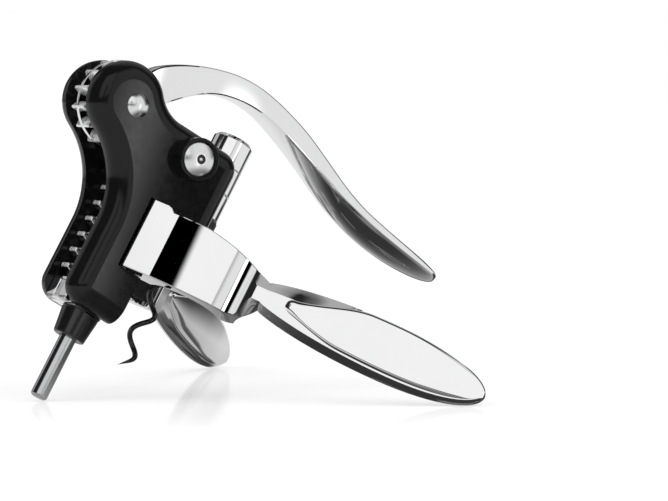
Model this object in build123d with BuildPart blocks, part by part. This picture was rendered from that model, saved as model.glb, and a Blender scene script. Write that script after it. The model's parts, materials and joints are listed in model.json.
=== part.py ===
from build123d import *
import os
from math import acos, atan2, cos, degrees, hypot, pi, radians, sin, sqrt, tan

# Lever corkscrew with two jaw handles, modelled in its tool frame and then stood on a table.
# Tool frame: origin on the lever's pivot, X forward along the handles, Y to the left, Z up along the worm.
# It stands as it is put down with the jaws open: on the tip of its slide rod and on both handle tips.

# Clearances
running_play = 0.1
side_play = 0.3
seat_play = 0.05

# Gear on the lever and rack on the carriage
gear_teeth = 14
gear_module = 2.25
pressure_angle = 25.0
backlash = 0.24
gear_width = 10.4
gear_rib = 1.8
gear_phase = 6.0
gear_gap_start_angle = 40.0
gear_gap_end_angle = 125.0
lever_swing = 210.0
rack_groove = 5.0
rack_web = 7.0
rack_shoe = 7.0
rack_window_height = 6.5
rack_window_depth = 2.5
bridge_gap = 1.6

# Lever arm: a narrow neck that rises over the barrel and widens to a paddle
lever_length = 166.5
lever_root_radius = 11.0
lever_neck_angle = 52.0
lever_rise = 31.6
lever_rise_at = 45.0
lever_fall = 17.6
lever_fall_at = 106.0
lever_tip_height = 10.6
lever_tip_angle = -3.0
lever_root_rim = 13.0
lever_neck_half = 4.6
lever_neck_rim = 7.8
paddle_half = 10.5
paddle_rim = 3.2
paddle_belly = 6.2
paddle_crown = 1.2
lever_edge_round = 0.4

# Cheeks of the frame
cheek_gap = 18.0
cheek_thickness = 9.0
head_radius = 16.6
head_back = 2.5
waist_radius = 35.0
neck_radius = 16.0
spine_back = 10.1
arm_top = 4.6
arm_height = 33.2
arm_reach = 0.8
arm_corner = 8.2
foot_front = 35.0
foot_height = 21.0
heel_radius = 8.5
cheek_round = 7.5

# Boss, pivot and bolts
pivot_radius = 3.2
pivot_head_radius = 4.75
pivot_dome = 1.9
pivot_recess = 0.6
guide_radius = 3.0
guide_bush_radius = 6.2
guide_drop = 6.5
boss_radius = 8.7
boss_rise = 6.5
boss_rim = 1.5
boss_recess = 1.6
guide_dome = 3.0
guide_eye = 1.3

# Worm, its barrel and its nut
worm_axis = 53.7
worm_pitch = 18.0
worm_coil_radius = 3.1
worm_wire = 2.2
worm_reach = 91.4
worm_turn = -122.0
worm_point = 3.0
worm_sharpness = 0.9
worm_hub_radius = 4.3
worm_hub_length = 13.0
worm_shank_radius = 3.0
worm_head_radius = 5.0
worm_head_height = 2.2
barrel_radius = 8.6
barrel_wall = 3.2
barrel_lift = 0.8
barrel_ring_drop = 11.2
barrel_ring_depth = 0.5
cap_height = 12.7
cap_wall = 1.7
cap_chamfer = 1.6
bridge_height = 6.7
bridge_half_width = 5.0
nut_holder_height = 6.0
nut_holder_back = 11.5
nut_radius = 6.2
nut_height = 4.0
nut_plate_height = 1.2
nut_screw_radius = 1.0
nut_screw_head = 1.8
nut_screw_length = 4.5
nut_screw_back = 8.0
nut_screw_spread = 5.0
nut_tongue = 1.6
nut_tongue_height = 2.0

# Slide rod below the rack
rod_axis = 26.8
rod_radius = 3.5
rod_reach = 118.2
rod_chamfer = 0.8
rod_embed = 4.0
collar_radius = 8.0
collar_length = 11.3
collar_taper = 1.4

# Jaws and handles
jaw_open_angle = 37.6
jaw_height = 29.8
hinge_x = 28.3
pin_radius = 2.0
pin_embed = 9.5
knuckle_wall = 2.3
jaw_bore_radius = 15.6
jaw_split = 0.4
jaw_side_wall = 7.2
jaw_heel = 3.4
jaw_front_wall = 6.6
jaw_shoulder = 44.0
jaw_step = 2.1
jaw_step_at = 8.0
jaw_crest = 2.9
jaw_bore_end_angle = 150.0
jaw_swell = 6.9
jaw_throat_reach = 2.7
jaw_throat = 7.2
neck_scoop = 0.62
jaw_cheek_length = 13.0
pad_thickness = 1.5
pad_margin = 2.2
pad_start_angle = 10.0
pad_end_angle = 140.0
handle_neck = 56.0
handle_length = 152.4
handle_widest = 108.0
handle_neck_half = 6.0
handle_half_height = 11.8
handle_half_thickness = 5.4
handle_rim = 1.4
handle_drop = 1.6

# Sizes that follow from the driving ones
pitch_radius = gear_module * gear_teeth / 2
tip_radius = pitch_radius + gear_module
root_radius = pitch_radius - 1.25 * gear_module
base_radius = pitch_radius * cos(radians(pressure_angle))
tooth_foot = root_radius - gear_module / 4
rack_pitch = pi * gear_module
stroke = pitch_radius * radians(lever_swing)
rack_crest = pitch_radius - gear_module
rack_root = pitch_radius + 1.25 * gear_module
rack_back = rack_root + rack_web
cheek_inner = cheek_gap / 2
cheek_outer = cheek_inner + cheek_thickness
rack_half = cheek_inner - side_play
arm_under = arm_top - arm_height
arm_front = worm_axis + arm_reach
jaw_top = arm_under - side_play
jaw_bottom = jaw_top - jaw_height
foot_top = jaw_bottom - side_play
foot_bottom = foot_top - foot_height
guide_x = rack_back + running_play + guide_bush_radius
guide_z = -guide_drop
bridge_bottom = guide_z + guide_bush_radius + bridge_gap
bridge_top = bridge_bottom + bridge_height
shoe_bottom = foot_bottom
shoe_half = collar_radius + side_play
gear_sweep = sqrt((tip_radius + 2 * side_play) ** 2 - rack_crest**2)
rack_end_block = -shoe_bottom - stroke - gear_sweep
knuckle_radius = pin_radius + running_play + knuckle_wall
hinge_y = max(rack_half, shoe_half) + side_play + knuckle_radius
notch_back = hinge_x - knuckle_radius - 2 * side_play
boss_face = cheek_outer + boss_rise
nut_holder_bottom = arm_under + nut_plate_height
nut_holder_top = nut_holder_bottom + nut_holder_height
barrel_bottom = nut_holder_top + barrel_lift
handle_z = (jaw_top + jaw_bottom) / 2 - handle_drop


def polar(centre, radius, angle):
    """Point at an angle in degrees on a circle."""
    return (centre[0] + radius * cos(radians(angle)), centre[1] + radius * sin(radians(angle)))


def toward(start, end, distance):
    """Point at a distance from start on the way to end."""
    share = distance / hypot(end[0] - start[0], end[1] - start[1])
    return (start[0] + share * (end[0] - start[0]), start[1] + share * (end[1] - start[1]))


def involute(angle):
    """Involute function of an angle in radians."""
    return tan(angle) - angle


def flank_angle(radius):
    """Half angle of a gear tooth at a radius, in degrees."""
    at_pitch = (rack_pitch / 2 - backlash / 2) / 2 / pitch_radius
    turn = involute(radians(pressure_angle)) - involute(acos(min(1.0, base_radius / radius)))
    return degrees(at_pitch + turn)


def cushion(half_width, rim, upper, lower):
    """Closed outline of two crowned faces joined by straight rims, in the sketch's own axes."""
    ThreePointArc((-half_width, rim / 2), (0, rim / 2 + upper), (half_width, rim / 2))
    Line((half_width, rim / 2), (half_width, -rim / 2))
    ThreePointArc((half_width, -rim / 2), (0, -rim / 2 - lower), (-half_width, -rim / 2))
    Line((-half_width, -rim / 2), (-half_width, rim / 2))


def domed_head(side, seat, rim, radius, dome):
    """Half outline of a domed bolt head in the YZ plane, on one side of the frame."""
    ball = (radius**2 + dome**2) / (2 * dome)
    centre = (rim + dome - ball, 0)
    shoulder = degrees(atan2(radius, rim - centre[0]))
    bulge = polar(centre, ball, shoulder / 2)
    Polyline((side * rim, radius), (side * seat, radius), (side * seat, 0), (side * (rim + dome), 0))
    ThreePointArc((side * (rim + dome), 0), (side * bulge[0], bulge[1]), (side * rim, radius))


# Left cheek: one outline with head, waist, foot, jaw notch and arm, with a bolt boss on its outer side
head = (-head_back, 0.0)
waist_x = spine_back - waist_radius
waist_reach = head_radius + waist_radius
waist = (waist_x, head[1] - sqrt(waist_reach**2 - (waist_x - head[0]) ** 2))
neck_reach = head_radius + neck_radius
neck_z = arm_top + neck_radius
neck = (head[0] + sqrt(neck_reach**2 - (neck_z - head[1]) ** 2), neck_z)
head_front = toward(head, neck, head_radius)
head_rear = toward(head, waist, head_radius)
waist_half = (degrees(atan2(head[1] - waist[1], head[0] - waist[0]))) / 2
neck_turn = degrees(atan2(head[1] - neck[1], head[0] - neck[0])) % 360
heel = (spine_back + heel_radius, foot_bottom + heel_radius)
corner = (arm_front - arm_corner, arm_top - arm_corner)

with BuildPart() as left_cheek:
    with BuildSketch(Plane.XZ.offset(-cheek_inner)):
        with BuildLine():
            ThreePointArc(head_front, polar(head, head_radius, 150), head_rear)
            ThreePointArc(head_rear, polar(waist, waist_radius, waist_half), (spine_back, waist[1]))
            Line((spine_back, waist[1]), (spine_back, heel[1]))
            ThreePointArc((spine_back, heel[1]), polar(heel, heel_radius, 225), (heel[0], foot_bottom))
            Polyline(
                (heel[0], foot_bottom),
                (foot_front, foot_bottom),
                (foot_front, foot_top),
                (notch_back, foot_top),
                (notch_back, arm_under),
                (arm_front, arm_under),
                (arm_front, corner[1]),
            )
            ThreePointArc((arm_front, corner[1]), polar(corner, arm_corner, 45), (corner[0], arm_top))
            Line((corner[0], arm_top), (neck[0], arm_top))
            ThreePointArc((neck[0], arm_top), polar(neck, neck_radius, (neck_turn + 270) / 2), head_front)
        make_face()
    extrude(amount=-cheek_thickness)
    outer_edges = left_cheek.faces().sort_by(Axis.Y)[-1].edges()
    notch_edges = outer_edges.filter_by_position(Axis.X, notch_back - seat_play, arm_front)
    notch_edges = notch_edges.filter_by_position(Axis.Z, foot_bottom + seat_play, arm_under + seat_play)
    fillet([edge for edge in outer_edges if edge not in notch_edges], cheek_round)
    with BuildSketch(Plane.XZ.offset(-cheek_inner)):
        with Locations((guide_x, guide_z)):
            Circle(boss_radius)
    extrude(amount=-(boss_face - cheek_inner))
    fillet(left_cheek.faces().sort_by(Axis.Y)[-1].edges(), boss_rim / 2)
    with BuildSketch(Plane.XZ.offset(-boss_face)):
        with Locations((guide_x, guide_z)):
            Circle(boss_radius - boss_rim)
    extrude(amount=boss_recess, mode=Mode.SUBTRACT)
    with BuildSketch(Plane.XZ.offset(-cheek_inner)):
        Circle(pivot_radius + seat_play)
        with Locations((guide_x, guide_z)):
            Circle(guide_radius + seat_play)
    extrude(amount=-(boss_face - cheek_inner), mode=Mode.SUBTRACT)
    with BuildSketch(Plane.XZ.offset(-cheek_outer)):
        Circle(pivot_head_radius + seat_play)
    extrude(amount=pivot_recess, mode=Mode.SUBTRACT)
    with BuildSketch(Plane.XY.offset(jaw_bottom - pin_embed)):
        with Locations((hinge_x, hinge_y)):
            Circle(pin_radius + seat_play)
    extrude(amount=jaw_height + 2 * pin_embed, mode=Mode.SUBTRACT)
    with BuildSketch(Plane.XZ.offset(-cheek_inner)):
        with Locations((worm_axis - nut_holder_back, nut_holder_bottom + nut_holder_height / 2)):
            Rectangle(
                4 * nut_holder_back,
                nut_tongue_height + 2 * seat_play,
                align=(Align.MIN, Align.CENTER),
            )
    extrude(amount=-nut_tongue - seat_play, mode=Mode.SUBTRACT)

with BuildPart() as right_cheek:
    mirror(left_cheek.part, about=Plane.XZ)

# Bolts across the frame: the lever turns on one, the other carries the bush that backs the rack
with BuildPart() as pivot_bolt:
    with BuildSketch(Plane.XZ.offset(-cheek_outer + pivot_recess)):
        Circle(pivot_radius)
    extrude(amount=2 * (cheek_outer - pivot_recess))
    with BuildSketch(Plane.YZ):
        with BuildLine():
            domed_head(-1, cheek_outer - pivot_recess, cheek_outer, pivot_head_radius, pivot_dome)
        make_face()
    revolve(axis=Axis.Y)

with BuildPart() as pivot_cap:
    with BuildSketch(Plane.YZ):
        with BuildLine():
            domed_head(1, cheek_outer - pivot_recess, cheek_outer, pivot_head_radius, pivot_dome)
        make_face()
    revolve(axis=Axis.Y)

with BuildPart() as pivot_washers:
    for side in (-1, 1):
        with BuildSketch(Plane.XZ.offset(side * (gear_width / 2 + side_play))):
            Circle(root_radius - gear_module)
            Circle(pivot_radius + running_play, mode=Mode.SUBTRACT)
        extrude(amount=side * (cheek_inner - gear_width / 2 - side_play))

guide_plane = Plane((guide_x, 0, guide_z), x_dir=(0, 1, 0), z_dir=(1, 0, 0))
guide_axis = Axis((guide_x, 0, guide_z), (0, 1, 0))
guide_seat = boss_face - boss_recess
guide_head_radius = boss_radius - boss_rim - seat_play

with BuildPart() as guide_bolt:
    with BuildSketch(Plane.XZ.offset(-guide_seat)):
        with Locations((guide_x, guide_z)):
            Circle(guide_radius)
    extrude(amount=2 * guide_seat)
    with BuildSketch(guide_plane):
        with BuildLine():
            domed_head(-1, guide_seat, boss_face - boss_recess / 2, guide_head_radius, guide_dome)
        make_face()
    revolve(axis=guide_axis)
    with BuildSketch(Plane.XZ.offset(boss_face + guide_dome)):
        with Locations((guide_x, guide_z)):
            Circle(guide_eye)
    extrude(amount=-2 * guide_dome, mode=Mode.SUBTRACT)

with BuildPart() as guide_cap:
    with BuildSketch(guide_plane):
        with BuildLine():
            domed_head(1, guide_seat, boss_face - boss_recess / 2, guide_head_radius, guide_dome)
        make_face()
    revolve(axis=guide_axis)

with BuildPart() as guide_bush:
    with BuildSketch(Plane.XZ.offset(-cheek_inner + seat_play)):
        with Locations((guide_x, guide_z)):
            Circle(guide_bush_radius)
            Circle(guide_radius + seat_play, mode=Mode.SUBTRACT)
    extrude(amount=2 * (cheek_inner - seat_play))

# Lever: gear and arm in one casting
lever_start = polar((0, 0), lever_root_radius, lever_neck_angle)
lever_tip = (lever_length, lever_tip_height)


def ease(value, start, end):
    """Smooth step from 0 at start to 1 at end."""
    share = min(1.0, max(0.0, (value - start) / (end - start)))
    return share * share * (3 - 2 * share)


def blunt(value, start, power=2.2):
    """Rounded closing of a leaf: 1 up to start, 0 at 1."""
    return (1 - max(0.0, (value - start) / (1 - start)) ** power) ** 0.5


with BuildLine(Plane.XZ) as lever_spine:
    Spline(
        lever_start,
        (lever_rise_at, lever_rise),
        (lever_fall_at, lever_fall),
        lever_tip,
        tangents=(polar((0, 0), 1, lever_neck_angle), polar((0, 0), 1, lever_tip_angle)),
    )

lever_stations = (0.0, 0.08, 0.18, 0.3, 0.45, 0.58, 0.7, 0.8, 0.9, 0.96, 0.99, 0.998)

with BuildPart() as lever:
    with BuildSketch(Plane.XZ):
        Circle(root_radius)
        for tooth in range(gear_teeth):
            angle = (gear_phase + 360 / gear_teeth * tooth) % 360
            if gear_gap_start_angle < angle < gear_gap_end_angle:
                continue
            middle = (base_radius + tip_radius) / 2
            with BuildLine():
                for sign in (-1, 1):
                    foot = polar((0, 0), tooth_foot, angle + sign * flank_angle(base_radius))
                    shoulder = polar((0, 0), base_radius, angle + sign * flank_angle(base_radius))
                    flank = polar((0, 0), middle, angle + sign * flank_angle(middle))
                    crest = polar((0, 0), tip_radius, angle + sign * flank_angle(tip_radius))
                    Line(foot, shoulder)
                    ThreePointArc(shoulder, flank, crest)
                ThreePointArc(
                    polar((0, 0), tip_radius, angle - flank_angle(tip_radius)),
                    polar((0, 0), tip_radius, angle),
                    polar((0, 0), tip_radius, angle + flank_angle(tip_radius)),
                )
                Line(
                    polar((0, 0), tooth_foot, angle - flank_angle(base_radius)),
                    polar((0, 0), tooth_foot, angle + flank_angle(base_radius)),
                )
            make_face()
    extrude(amount=gear_width / 2, both=True)
    with BuildSketch(Plane.XZ):
        Circle(tip_radius)
    extrude(amount=gear_rib / 2, both=True)
    for share in lever_stations:
        spine = lever_spine.edge()
        with BuildSketch(Plane(spine @ share, x_dir=(0, 1, 0), z_dir=spine % share)):
            with BuildLine():
                closing = blunt(share, 0.82)
                wide = lever_neck_half + (paddle_half - lever_neck_half) * ease(share, 0.12, 0.68)
                rim = lever_root_rim + (lever_neck_rim - lever_root_rim) * ease(share, 0.02, 0.22)
                rim = rim + (paddle_rim - lever_neck_rim) * ease(share, 0.42, 0.72)
                crown = lever_edge_round + paddle_crown * ease(share, 0.1, 0.6) * closing
                belly = lever_edge_round + paddle_belly * ease(share, 0.38, 0.74) * closing
                cushion(wide * closing, rim, crown, belly)
            make_face()
    loft()
    with BuildSketch(Plane.XZ):
        Circle(pivot_radius + running_play)
    extrude(amount=gear_width, both=True, mode=Mode.SUBTRACT)

# Rack: toothed bar with a shoe for the slide rod below and a bridge with the worm's eye above
tooth_space = pitch_radius * radians(gear_phase)
eye_radius = barrel_radius - cap_wall - seat_play
window_base = shoe_bottom + (rack_end_block - rack_window_height) / 2

with BuildPart() as rack:
    with BuildSketch(Plane.XZ):
        with BuildLine():
            Polyline(
                (rack_root, shoe_bottom),
                (rack_back, shoe_bottom),
                (rack_back, bridge_top),
                (rack_root, bridge_top),
                close=True,
            )
        make_face()
        with BuildLine():
            Polyline(
                (rack_crest, shoe_bottom),
                (rack_root, shoe_bottom),
                (rack_root, shoe_bottom + rack_end_block),
                (rack_crest, shoe_bottom + rack_end_block),
                close=True,
            )
        make_face()
        crest_half = rack_pitch / 4 - backlash / 4 - gear_module * tan(radians(pressure_angle))
        root_half = crest_half + (rack_root - rack_crest) * tan(radians(pressure_angle))
        below = int((tooth_space - shoe_bottom - rack_end_block) / rack_pitch)
        for tooth in range(-below + 1, 2):
            middle = tooth_space + (tooth - 0.5) * rack_pitch
            if middle + root_half > bridge_top:
                continue
            with BuildLine():
                Polyline(
                    (rack_root, middle - root_half),
                    (rack_crest, middle - crest_half),
                    (rack_crest, middle + crest_half),
                    (rack_root, middle + root_half),
                    close=True,
                )
            make_face()
    extrude(amount=rack_half, both=True)
    with BuildSketch(Plane.XZ):
        with BuildLine():
            Polyline(
                (rack_crest - side_play, shoe_bottom + rack_end_block),
                (rack_root + side_play, shoe_bottom + rack_end_block),
                (rack_root + side_play, bridge_top),
                (rack_crest - side_play, bridge_top),
                close=True,
            )
        make_face()
    extrude(amount=rack_groove / 2, both=True, mode=Mode.SUBTRACT)
    with BuildSketch(Plane.YZ.offset(rack_crest)):
        with Locations((0, window_base + rack_window_height / 2)):
            Rectangle(rack_groove, rack_window_height)
    extrude(amount=rack_window_depth, mode=Mode.SUBTRACT)
    with BuildSketch(Plane.XY.offset(shoe_bottom)):
        with Locations((rod_axis, 0)):
            Circle(shoe_half)
    extrude(amount=rack_shoe)
    with BuildSketch(Plane.XY.offset(bridge_bottom)):
        with Locations(((rack_back + worm_axis) / 2, 0)):
            Rectangle(worm_axis - rack_back + rack_web, 2 * bridge_half_width)
        with Locations((worm_axis, 0)):
            Circle(eye_radius)
    extrude(amount=bridge_height)
    with BuildSketch(Plane.XY.offset(bridge_bottom)):
        with Locations((worm_axis, 0)):
            Circle(worm_shank_radius + running_play)
    extrude(amount=bridge_height, mode=Mode.SUBTRACT)
    with BuildSketch(Plane.XY.offset(shoe_bottom)):
        with Locations((rod_axis, 0)):
            Circle(rod_radius + seat_play)
    extrude(amount=rod_embed + seat_play, mode=Mode.SUBTRACT)

# Barrel round the worm's hub, and the cap over the bridge
barrel_bore = barrel_radius - barrel_wall
ring_z = bridge_bottom - barrel_ring_drop

with BuildPart() as barrel:
    with BuildSketch(Plane.XY.offset(barrel_bottom)):
        with Locations((worm_axis, 0)):
            Circle(barrel_radius)
            Circle(barrel_bore, mode=Mode.SUBTRACT)
    extrude(amount=bridge_bottom - barrel_bottom)
    chamfer(barrel.faces().sort_by(Axis.Z)[-1].edges().sort_by(SortBy.RADIUS)[-1], barrel_ring_depth / 2)
    with BuildSketch(Plane.XY.offset(ring_z)):
        with Locations((worm_axis, 0)):
            Circle(barrel_radius + barrel_ring_depth)
            Circle(barrel_radius - barrel_ring_depth, mode=Mode.SUBTRACT)
    extrude(amount=barrel_ring_depth, mode=Mode.SUBTRACT)

with BuildPart() as barrel_cap:
    with BuildSketch(Plane.XY.offset(bridge_bottom)):
        with Locations((worm_axis, 0)):
            Circle(barrel_radius)
    extrude(amount=cap_height)
    chamfer(barrel_cap.faces().sort_by(Axis.Z)[-1].edges(), cap_chamfer)
    chamfer(barrel_cap.faces().sort_by(Axis.Z)[0].edges(), barrel_ring_depth / 2)
    with BuildSketch(Plane.XY.offset(bridge_bottom)):
        with Locations((worm_axis, 0)):
            Circle(eye_radius + seat_play)
    extrude(amount=cap_height - cap_chamfer - cap_wall, mode=Mode.SUBTRACT)
    with BuildSketch(Plane.XY.offset(bridge_bottom)):
        with Locations((worm_axis, 0)):
            Rectangle(
                2 * barrel_radius, 2 * (bridge_half_width + seat_play), align=(Align.MAX, Align.CENTER)
            )
    extrude(amount=bridge_height + seat_play, mode=Mode.SUBTRACT)

# Worm: pointed helical wire on a hub that turns in the bridge's eye
hub_top = bridge_bottom - running_play
hub_bottom = hub_top - worm_hub_length
climb = atan2(worm_pitch, 2 * pi * worm_coil_radius)
helix_start = -worm_reach + worm_point * sin(climb)
helix_end = hub_bottom + worm_hub_length / 3
wire_radius = worm_wire / 2
worm_line = Axis((worm_axis, 0, 0), (0, 0, 1))

with BuildPart() as worm:
    with BuildLine() as strand:
        Helix(worm_pitch, helix_end - helix_start, worm_coil_radius, center=(worm_axis, 0, helix_start))
    path = strand.wire().rotate(worm_line, worm_turn)
    with BuildSketch(Plane(path @ 0, z_dir=path % 0)):
        Circle(wire_radius)
    sweep(path=path, is_frenet=True)
    with BuildSketch(Plane.XY.offset(hub_bottom)):
        with Locations((worm_axis, 0)):
            Circle(worm_hub_radius)
    extrude(amount=worm_hub_length)
    with BuildSketch(Plane.XY.offset(hub_bottom)):
        with Locations((worm_axis, 0)):
            Circle(worm_shank_radius)
    extrude(amount=bridge_top + running_play - hub_bottom)
    with BuildSketch(Plane(path @ 0, z_dir=-(path % 0))):
        Circle(wire_radius)
    extrude(amount=worm_point, taper=degrees(atan2(wire_radius * worm_sharpness, worm_point)))

with BuildPart() as worm_head:
    with BuildSketch(Plane.XY.offset(bridge_top + running_play)):
        with Locations((worm_axis, 0)):
            Circle(worm_head_radius)
    extrude(amount=worm_head_height)
    chamfer(worm_head.faces().sort_by(Axis.Z)[-1].edges(), worm_head_height / 4)

# Nut that turns the worm: the wire runs through its kidney slot, a holder between the arms carries it
nut_middle = nut_holder_bottom + nut_height / 2
slot_angle = worm_turn + (nut_middle - helix_start) / worm_pitch * 360
wire_half = degrees((wire_radius / sin(climb) + side_play) / worm_coil_radius)
slot_half = nut_height / 2 / worm_pitch * 360 + wire_half
slot_inner = worm_coil_radius - wire_radius - side_play
slot_outer = worm_coil_radius + wire_radius + side_play
worm_bore = worm_hub_radius + side_play

with BuildPart() as drive_nut:
    with BuildSketch(Plane.XY.offset(nut_holder_bottom)):
        with Locations((worm_axis, 0)):
            Circle(nut_radius)
    extrude(amount=nut_height)
    with BuildSketch(Plane.XY.offset(nut_holder_bottom)):
        with BuildLine():
            slot_from = slot_angle - slot_half
            slot_to = slot_angle + slot_half
            centre = (worm_axis, 0)
            ThreePointArc(*(polar(centre, slot_outer, at) for at in (slot_from, slot_angle, slot_to)))
            Line(polar(centre, slot_outer, slot_to), polar(centre, slot_inner, slot_to))
            ThreePointArc(*(polar(centre, slot_inner, at) for at in (slot_to, slot_angle, slot_from)))
            Line(polar(centre, slot_inner, slot_from), polar(centre, slot_outer, slot_from))
        make_face()
    extrude(amount=nut_height, mode=Mode.SUBTRACT)

holder_half = cheek_inner - seat_play
screw_places = [(worm_axis - nut_screw_back, side * nut_screw_spread) for side in (-1, 1)]

with BuildPart() as nut_holder:
    with BuildSketch(Plane.XY.offset(nut_holder_bottom)):
        with Locations((worm_axis, 0)):
            Circle(holder_half)
            Rectangle(nut_holder_back, 2 * holder_half, align=(Align.MAX, Align.CENTER))
    extrude(amount=nut_holder_height)
    with BuildSketch(Plane.XY.offset(nut_holder_bottom + (nut_holder_height - nut_tongue_height) / 2)):
        with Locations((worm_axis, 0)):
            Rectangle(nut_holder_back, 2 * (holder_half + nut_tongue), align=(Align.MAX, Align.CENTER))
    extrude(amount=nut_tongue_height)
    with BuildSketch(Plane.XY.offset(nut_holder_bottom)):
        with Locations((worm_axis, 0)):
            Circle(nut_radius + seat_play)
    extrude(amount=nut_height + seat_play, mode=Mode.SUBTRACT)
    with BuildSketch(Plane.XY.offset(nut_holder_bottom)):
        with Locations((worm_axis, 0)):
            Circle(worm_bore)
    extrude(amount=nut_holder_height, mode=Mode.SUBTRACT)
    with BuildSketch(Plane.XY.offset(nut_holder_bottom)):
        with Locations(*screw_places):
            Circle(nut_screw_radius + seat_play)
    extrude(amount=nut_screw_length - nut_plate_height + seat_play, mode=Mode.SUBTRACT)

with BuildPart() as nut_plate:
    with BuildSketch(Plane.XY.offset(arm_under)):
        with Locations((worm_axis, 0)):
            Circle(holder_half)
            Rectangle(nut_holder_back, 2 * holder_half, align=(Align.MAX, Align.CENTER))
            Circle(worm_bore, mode=Mode.SUBTRACT)
    extrude(amount=nut_plate_height)
    with BuildSketch(Plane.XY.offset(arm_under)):
        with Locations(*screw_places):
            Circle(nut_screw_radius + seat_play)
    extrude(amount=nut_plate_height, mode=Mode.SUBTRACT)
    with BuildSketch(Plane.XY.offset(arm_under)):
        with Locations(*screw_places):
            Circle(nut_screw_head + seat_play)
    extrude(amount=nut_plate_height / 2, mode=Mode.SUBTRACT)

with BuildPart() as nut_screws:
    with BuildSketch(Plane.XY.offset(arm_under)):
        with Locations(*screw_places):
            Circle(nut_screw_head)
    extrude(amount=nut_plate_height / 2)
    with BuildSketch(Plane.XY.offset(arm_under)):
        with Locations(*screw_places):
            Circle(nut_screw_radius)
    extrude(amount=nut_screw_length)

# Slide rod in its collar under the rack's shoe
with BuildPart() as rod_collar:
    with BuildSketch(Plane.XY.offset(shoe_bottom - collar_length)):
        with Locations((rod_axis, 0)):
            Circle(collar_radius - collar_taper)
    with BuildSketch(Plane.XY.offset(shoe_bottom)):
        with Locations((rod_axis, 0)):
            Circle(collar_radius)
    loft()
    fillet(rod_collar.faces().sort_by(Axis.Z)[0].edges(), collar_taper / 2)
    with BuildSketch(Plane.XY.offset(shoe_bottom - collar_length)):
        with Locations((rod_axis, 0)):
            Circle(rod_radius + seat_play)
    extrude(amount=collar_length, mode=Mode.SUBTRACT)

with BuildPart() as slide_rod:
    with BuildSketch(Plane.XY.offset(-rod_reach)):
        with Locations((rod_axis, 0)):
            Circle(rod_radius)
    extrude(amount=rod_reach + shoe_bottom + rod_embed)
    chamfer(slide_rod.faces().sort_by(Axis.Z)[0].edges(), rod_chamfer)

# Left jaw with its handle, drawn along its own direction from the hinge pin, then mirrored
jaw_plane = Plane(
    origin=(hinge_x, hinge_y, 0),
    x_dir=(cos(radians(jaw_open_angle)), sin(radians(jaw_open_angle)), 0),
    z_dir=(0, 0, 1),
)
jaw_side = Plane(jaw_plane.origin, x_dir=jaw_plane.x_dir, z_dir=-jaw_plane.y_dir)
bottle = (worm_axis - hinge_x, -hinge_y)
jaw_outside = bottle[1] + jaw_bore_radius + jaw_side_wall
jaw_nose = bottle[0] + jaw_bore_radius + jaw_front_wall
split_angle = degrees(atan2(jaw_split, jaw_bore_radius))
bore_front = polar(bottle, jaw_bore_radius, split_angle)
bore_rear = polar(bottle, jaw_bore_radius, jaw_bore_end_angle)
wall_start = bottle[0] - jaw_cheek_length
neck_thick = handle_half_thickness - handle_rim / 2
neck_tail = handle_neck - handle_neck_half


def leaf(reach):
    """Half height of the handle at a distance from the hinge."""
    if reach < handle_widest:
        share = max(0.0, (reach - handle_neck) / (handle_widest - handle_neck)) ** 0.75
        return handle_neck_half + (handle_half_height - handle_neck_half) * sin(pi / 2 * share)
    return handle_half_height * blunt(reach / handle_length, handle_widest / handle_length)


with BuildPart() as left_jaw:
    with BuildSketch(jaw_plane.offset(jaw_bottom)):
        with BuildLine():
            Polyline(
                bore_rear,
                polar((0, 0), knuckle_radius, -60),
                (0, 0),
                polar((0, 0), knuckle_radius, 110),
                (jaw_heel / 5, knuckle_radius + jaw_heel),
                (wall_start, jaw_outside),
                bottle_side := (bottle[0], jaw_outside),
            )
            ThreePointArc(
                bottle_side,
                ((bottle[0] + handle_neck) / 2, jaw_swell),
                (handle_neck, neck_thick),
            )
            Line((handle_neck, neck_thick), (handle_neck, -neck_thick))
            ThreePointArc(
                (handle_neck, -neck_thick),
                (jaw_nose + jaw_throat_reach, -jaw_throat),
                (jaw_nose, bore_front[1]),
            )
            Line((jaw_nose, bore_front[1]), bore_front)
            ThreePointArc(bore_front, polar(bottle, jaw_bore_radius, jaw_bore_end_angle / 2), bore_rear)
        make_face()
        Circle(knuckle_radius)
    extrude(amount=jaw_height)
    with BuildSketch(jaw_side):
        with BuildLine():
            rear = (-2 * knuckle_radius, jaw_top)
            upper = handle_z + handle_neck_half
            lower = handle_z - handle_neck_half
            scoop_at = jaw_shoulder + (handle_neck - jaw_shoulder) * neck_scoop
            ledge = (bottle[0], jaw_top - jaw_step)
            Polyline(
                (jaw_shoulder, jaw_bottom),
                (rear[0], jaw_bottom),
                rear,
                (jaw_step_at, jaw_top),
                (jaw_step_at + jaw_step, jaw_top - jaw_step),
                ledge,
            )
            crest_at = (bottle[0] + handle_neck) / 2
            ThreePointArc(ledge, (crest_at, ledge[1] - jaw_crest), (handle_neck, upper))
            Line((handle_neck, upper), (handle_neck, lower))
            ThreePointArc(
                (handle_neck, lower),
                (scoop_at, lower + (jaw_bottom - lower) * neck_scoop),
                (jaw_shoulder, jaw_bottom),
            )
        make_face()
    extrude(amount=4 * jaw_height, both=True, mode=Mode.INTERSECT)
    handle_span = handle_length - neck_tail
    for share in (0.0, 0.12, 0.24, 0.38, 0.55, 0.7, 0.82, 0.91, 0.96, 0.99, 0.998):
        reach = neck_tail + handle_span * share
        half = leaf(reach)
        swell = min(half / handle_neck_half, 1.0) * (handle_half_thickness - handle_rim / 2)
        foot = jaw_plane.from_local_coords((reach, 0, handle_z))
        with BuildSketch(Plane(foot, x_dir=(0, 0, 1), z_dir=jaw_plane.x_dir)):
            with BuildLine():
                cushion(half, handle_rim, swell, swell)
            make_face()
    loft()
    with BuildSketch(jaw_plane.offset(jaw_bottom)):
        Circle(pin_radius + running_play)
    extrude(amount=jaw_height, mode=Mode.SUBTRACT)

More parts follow.
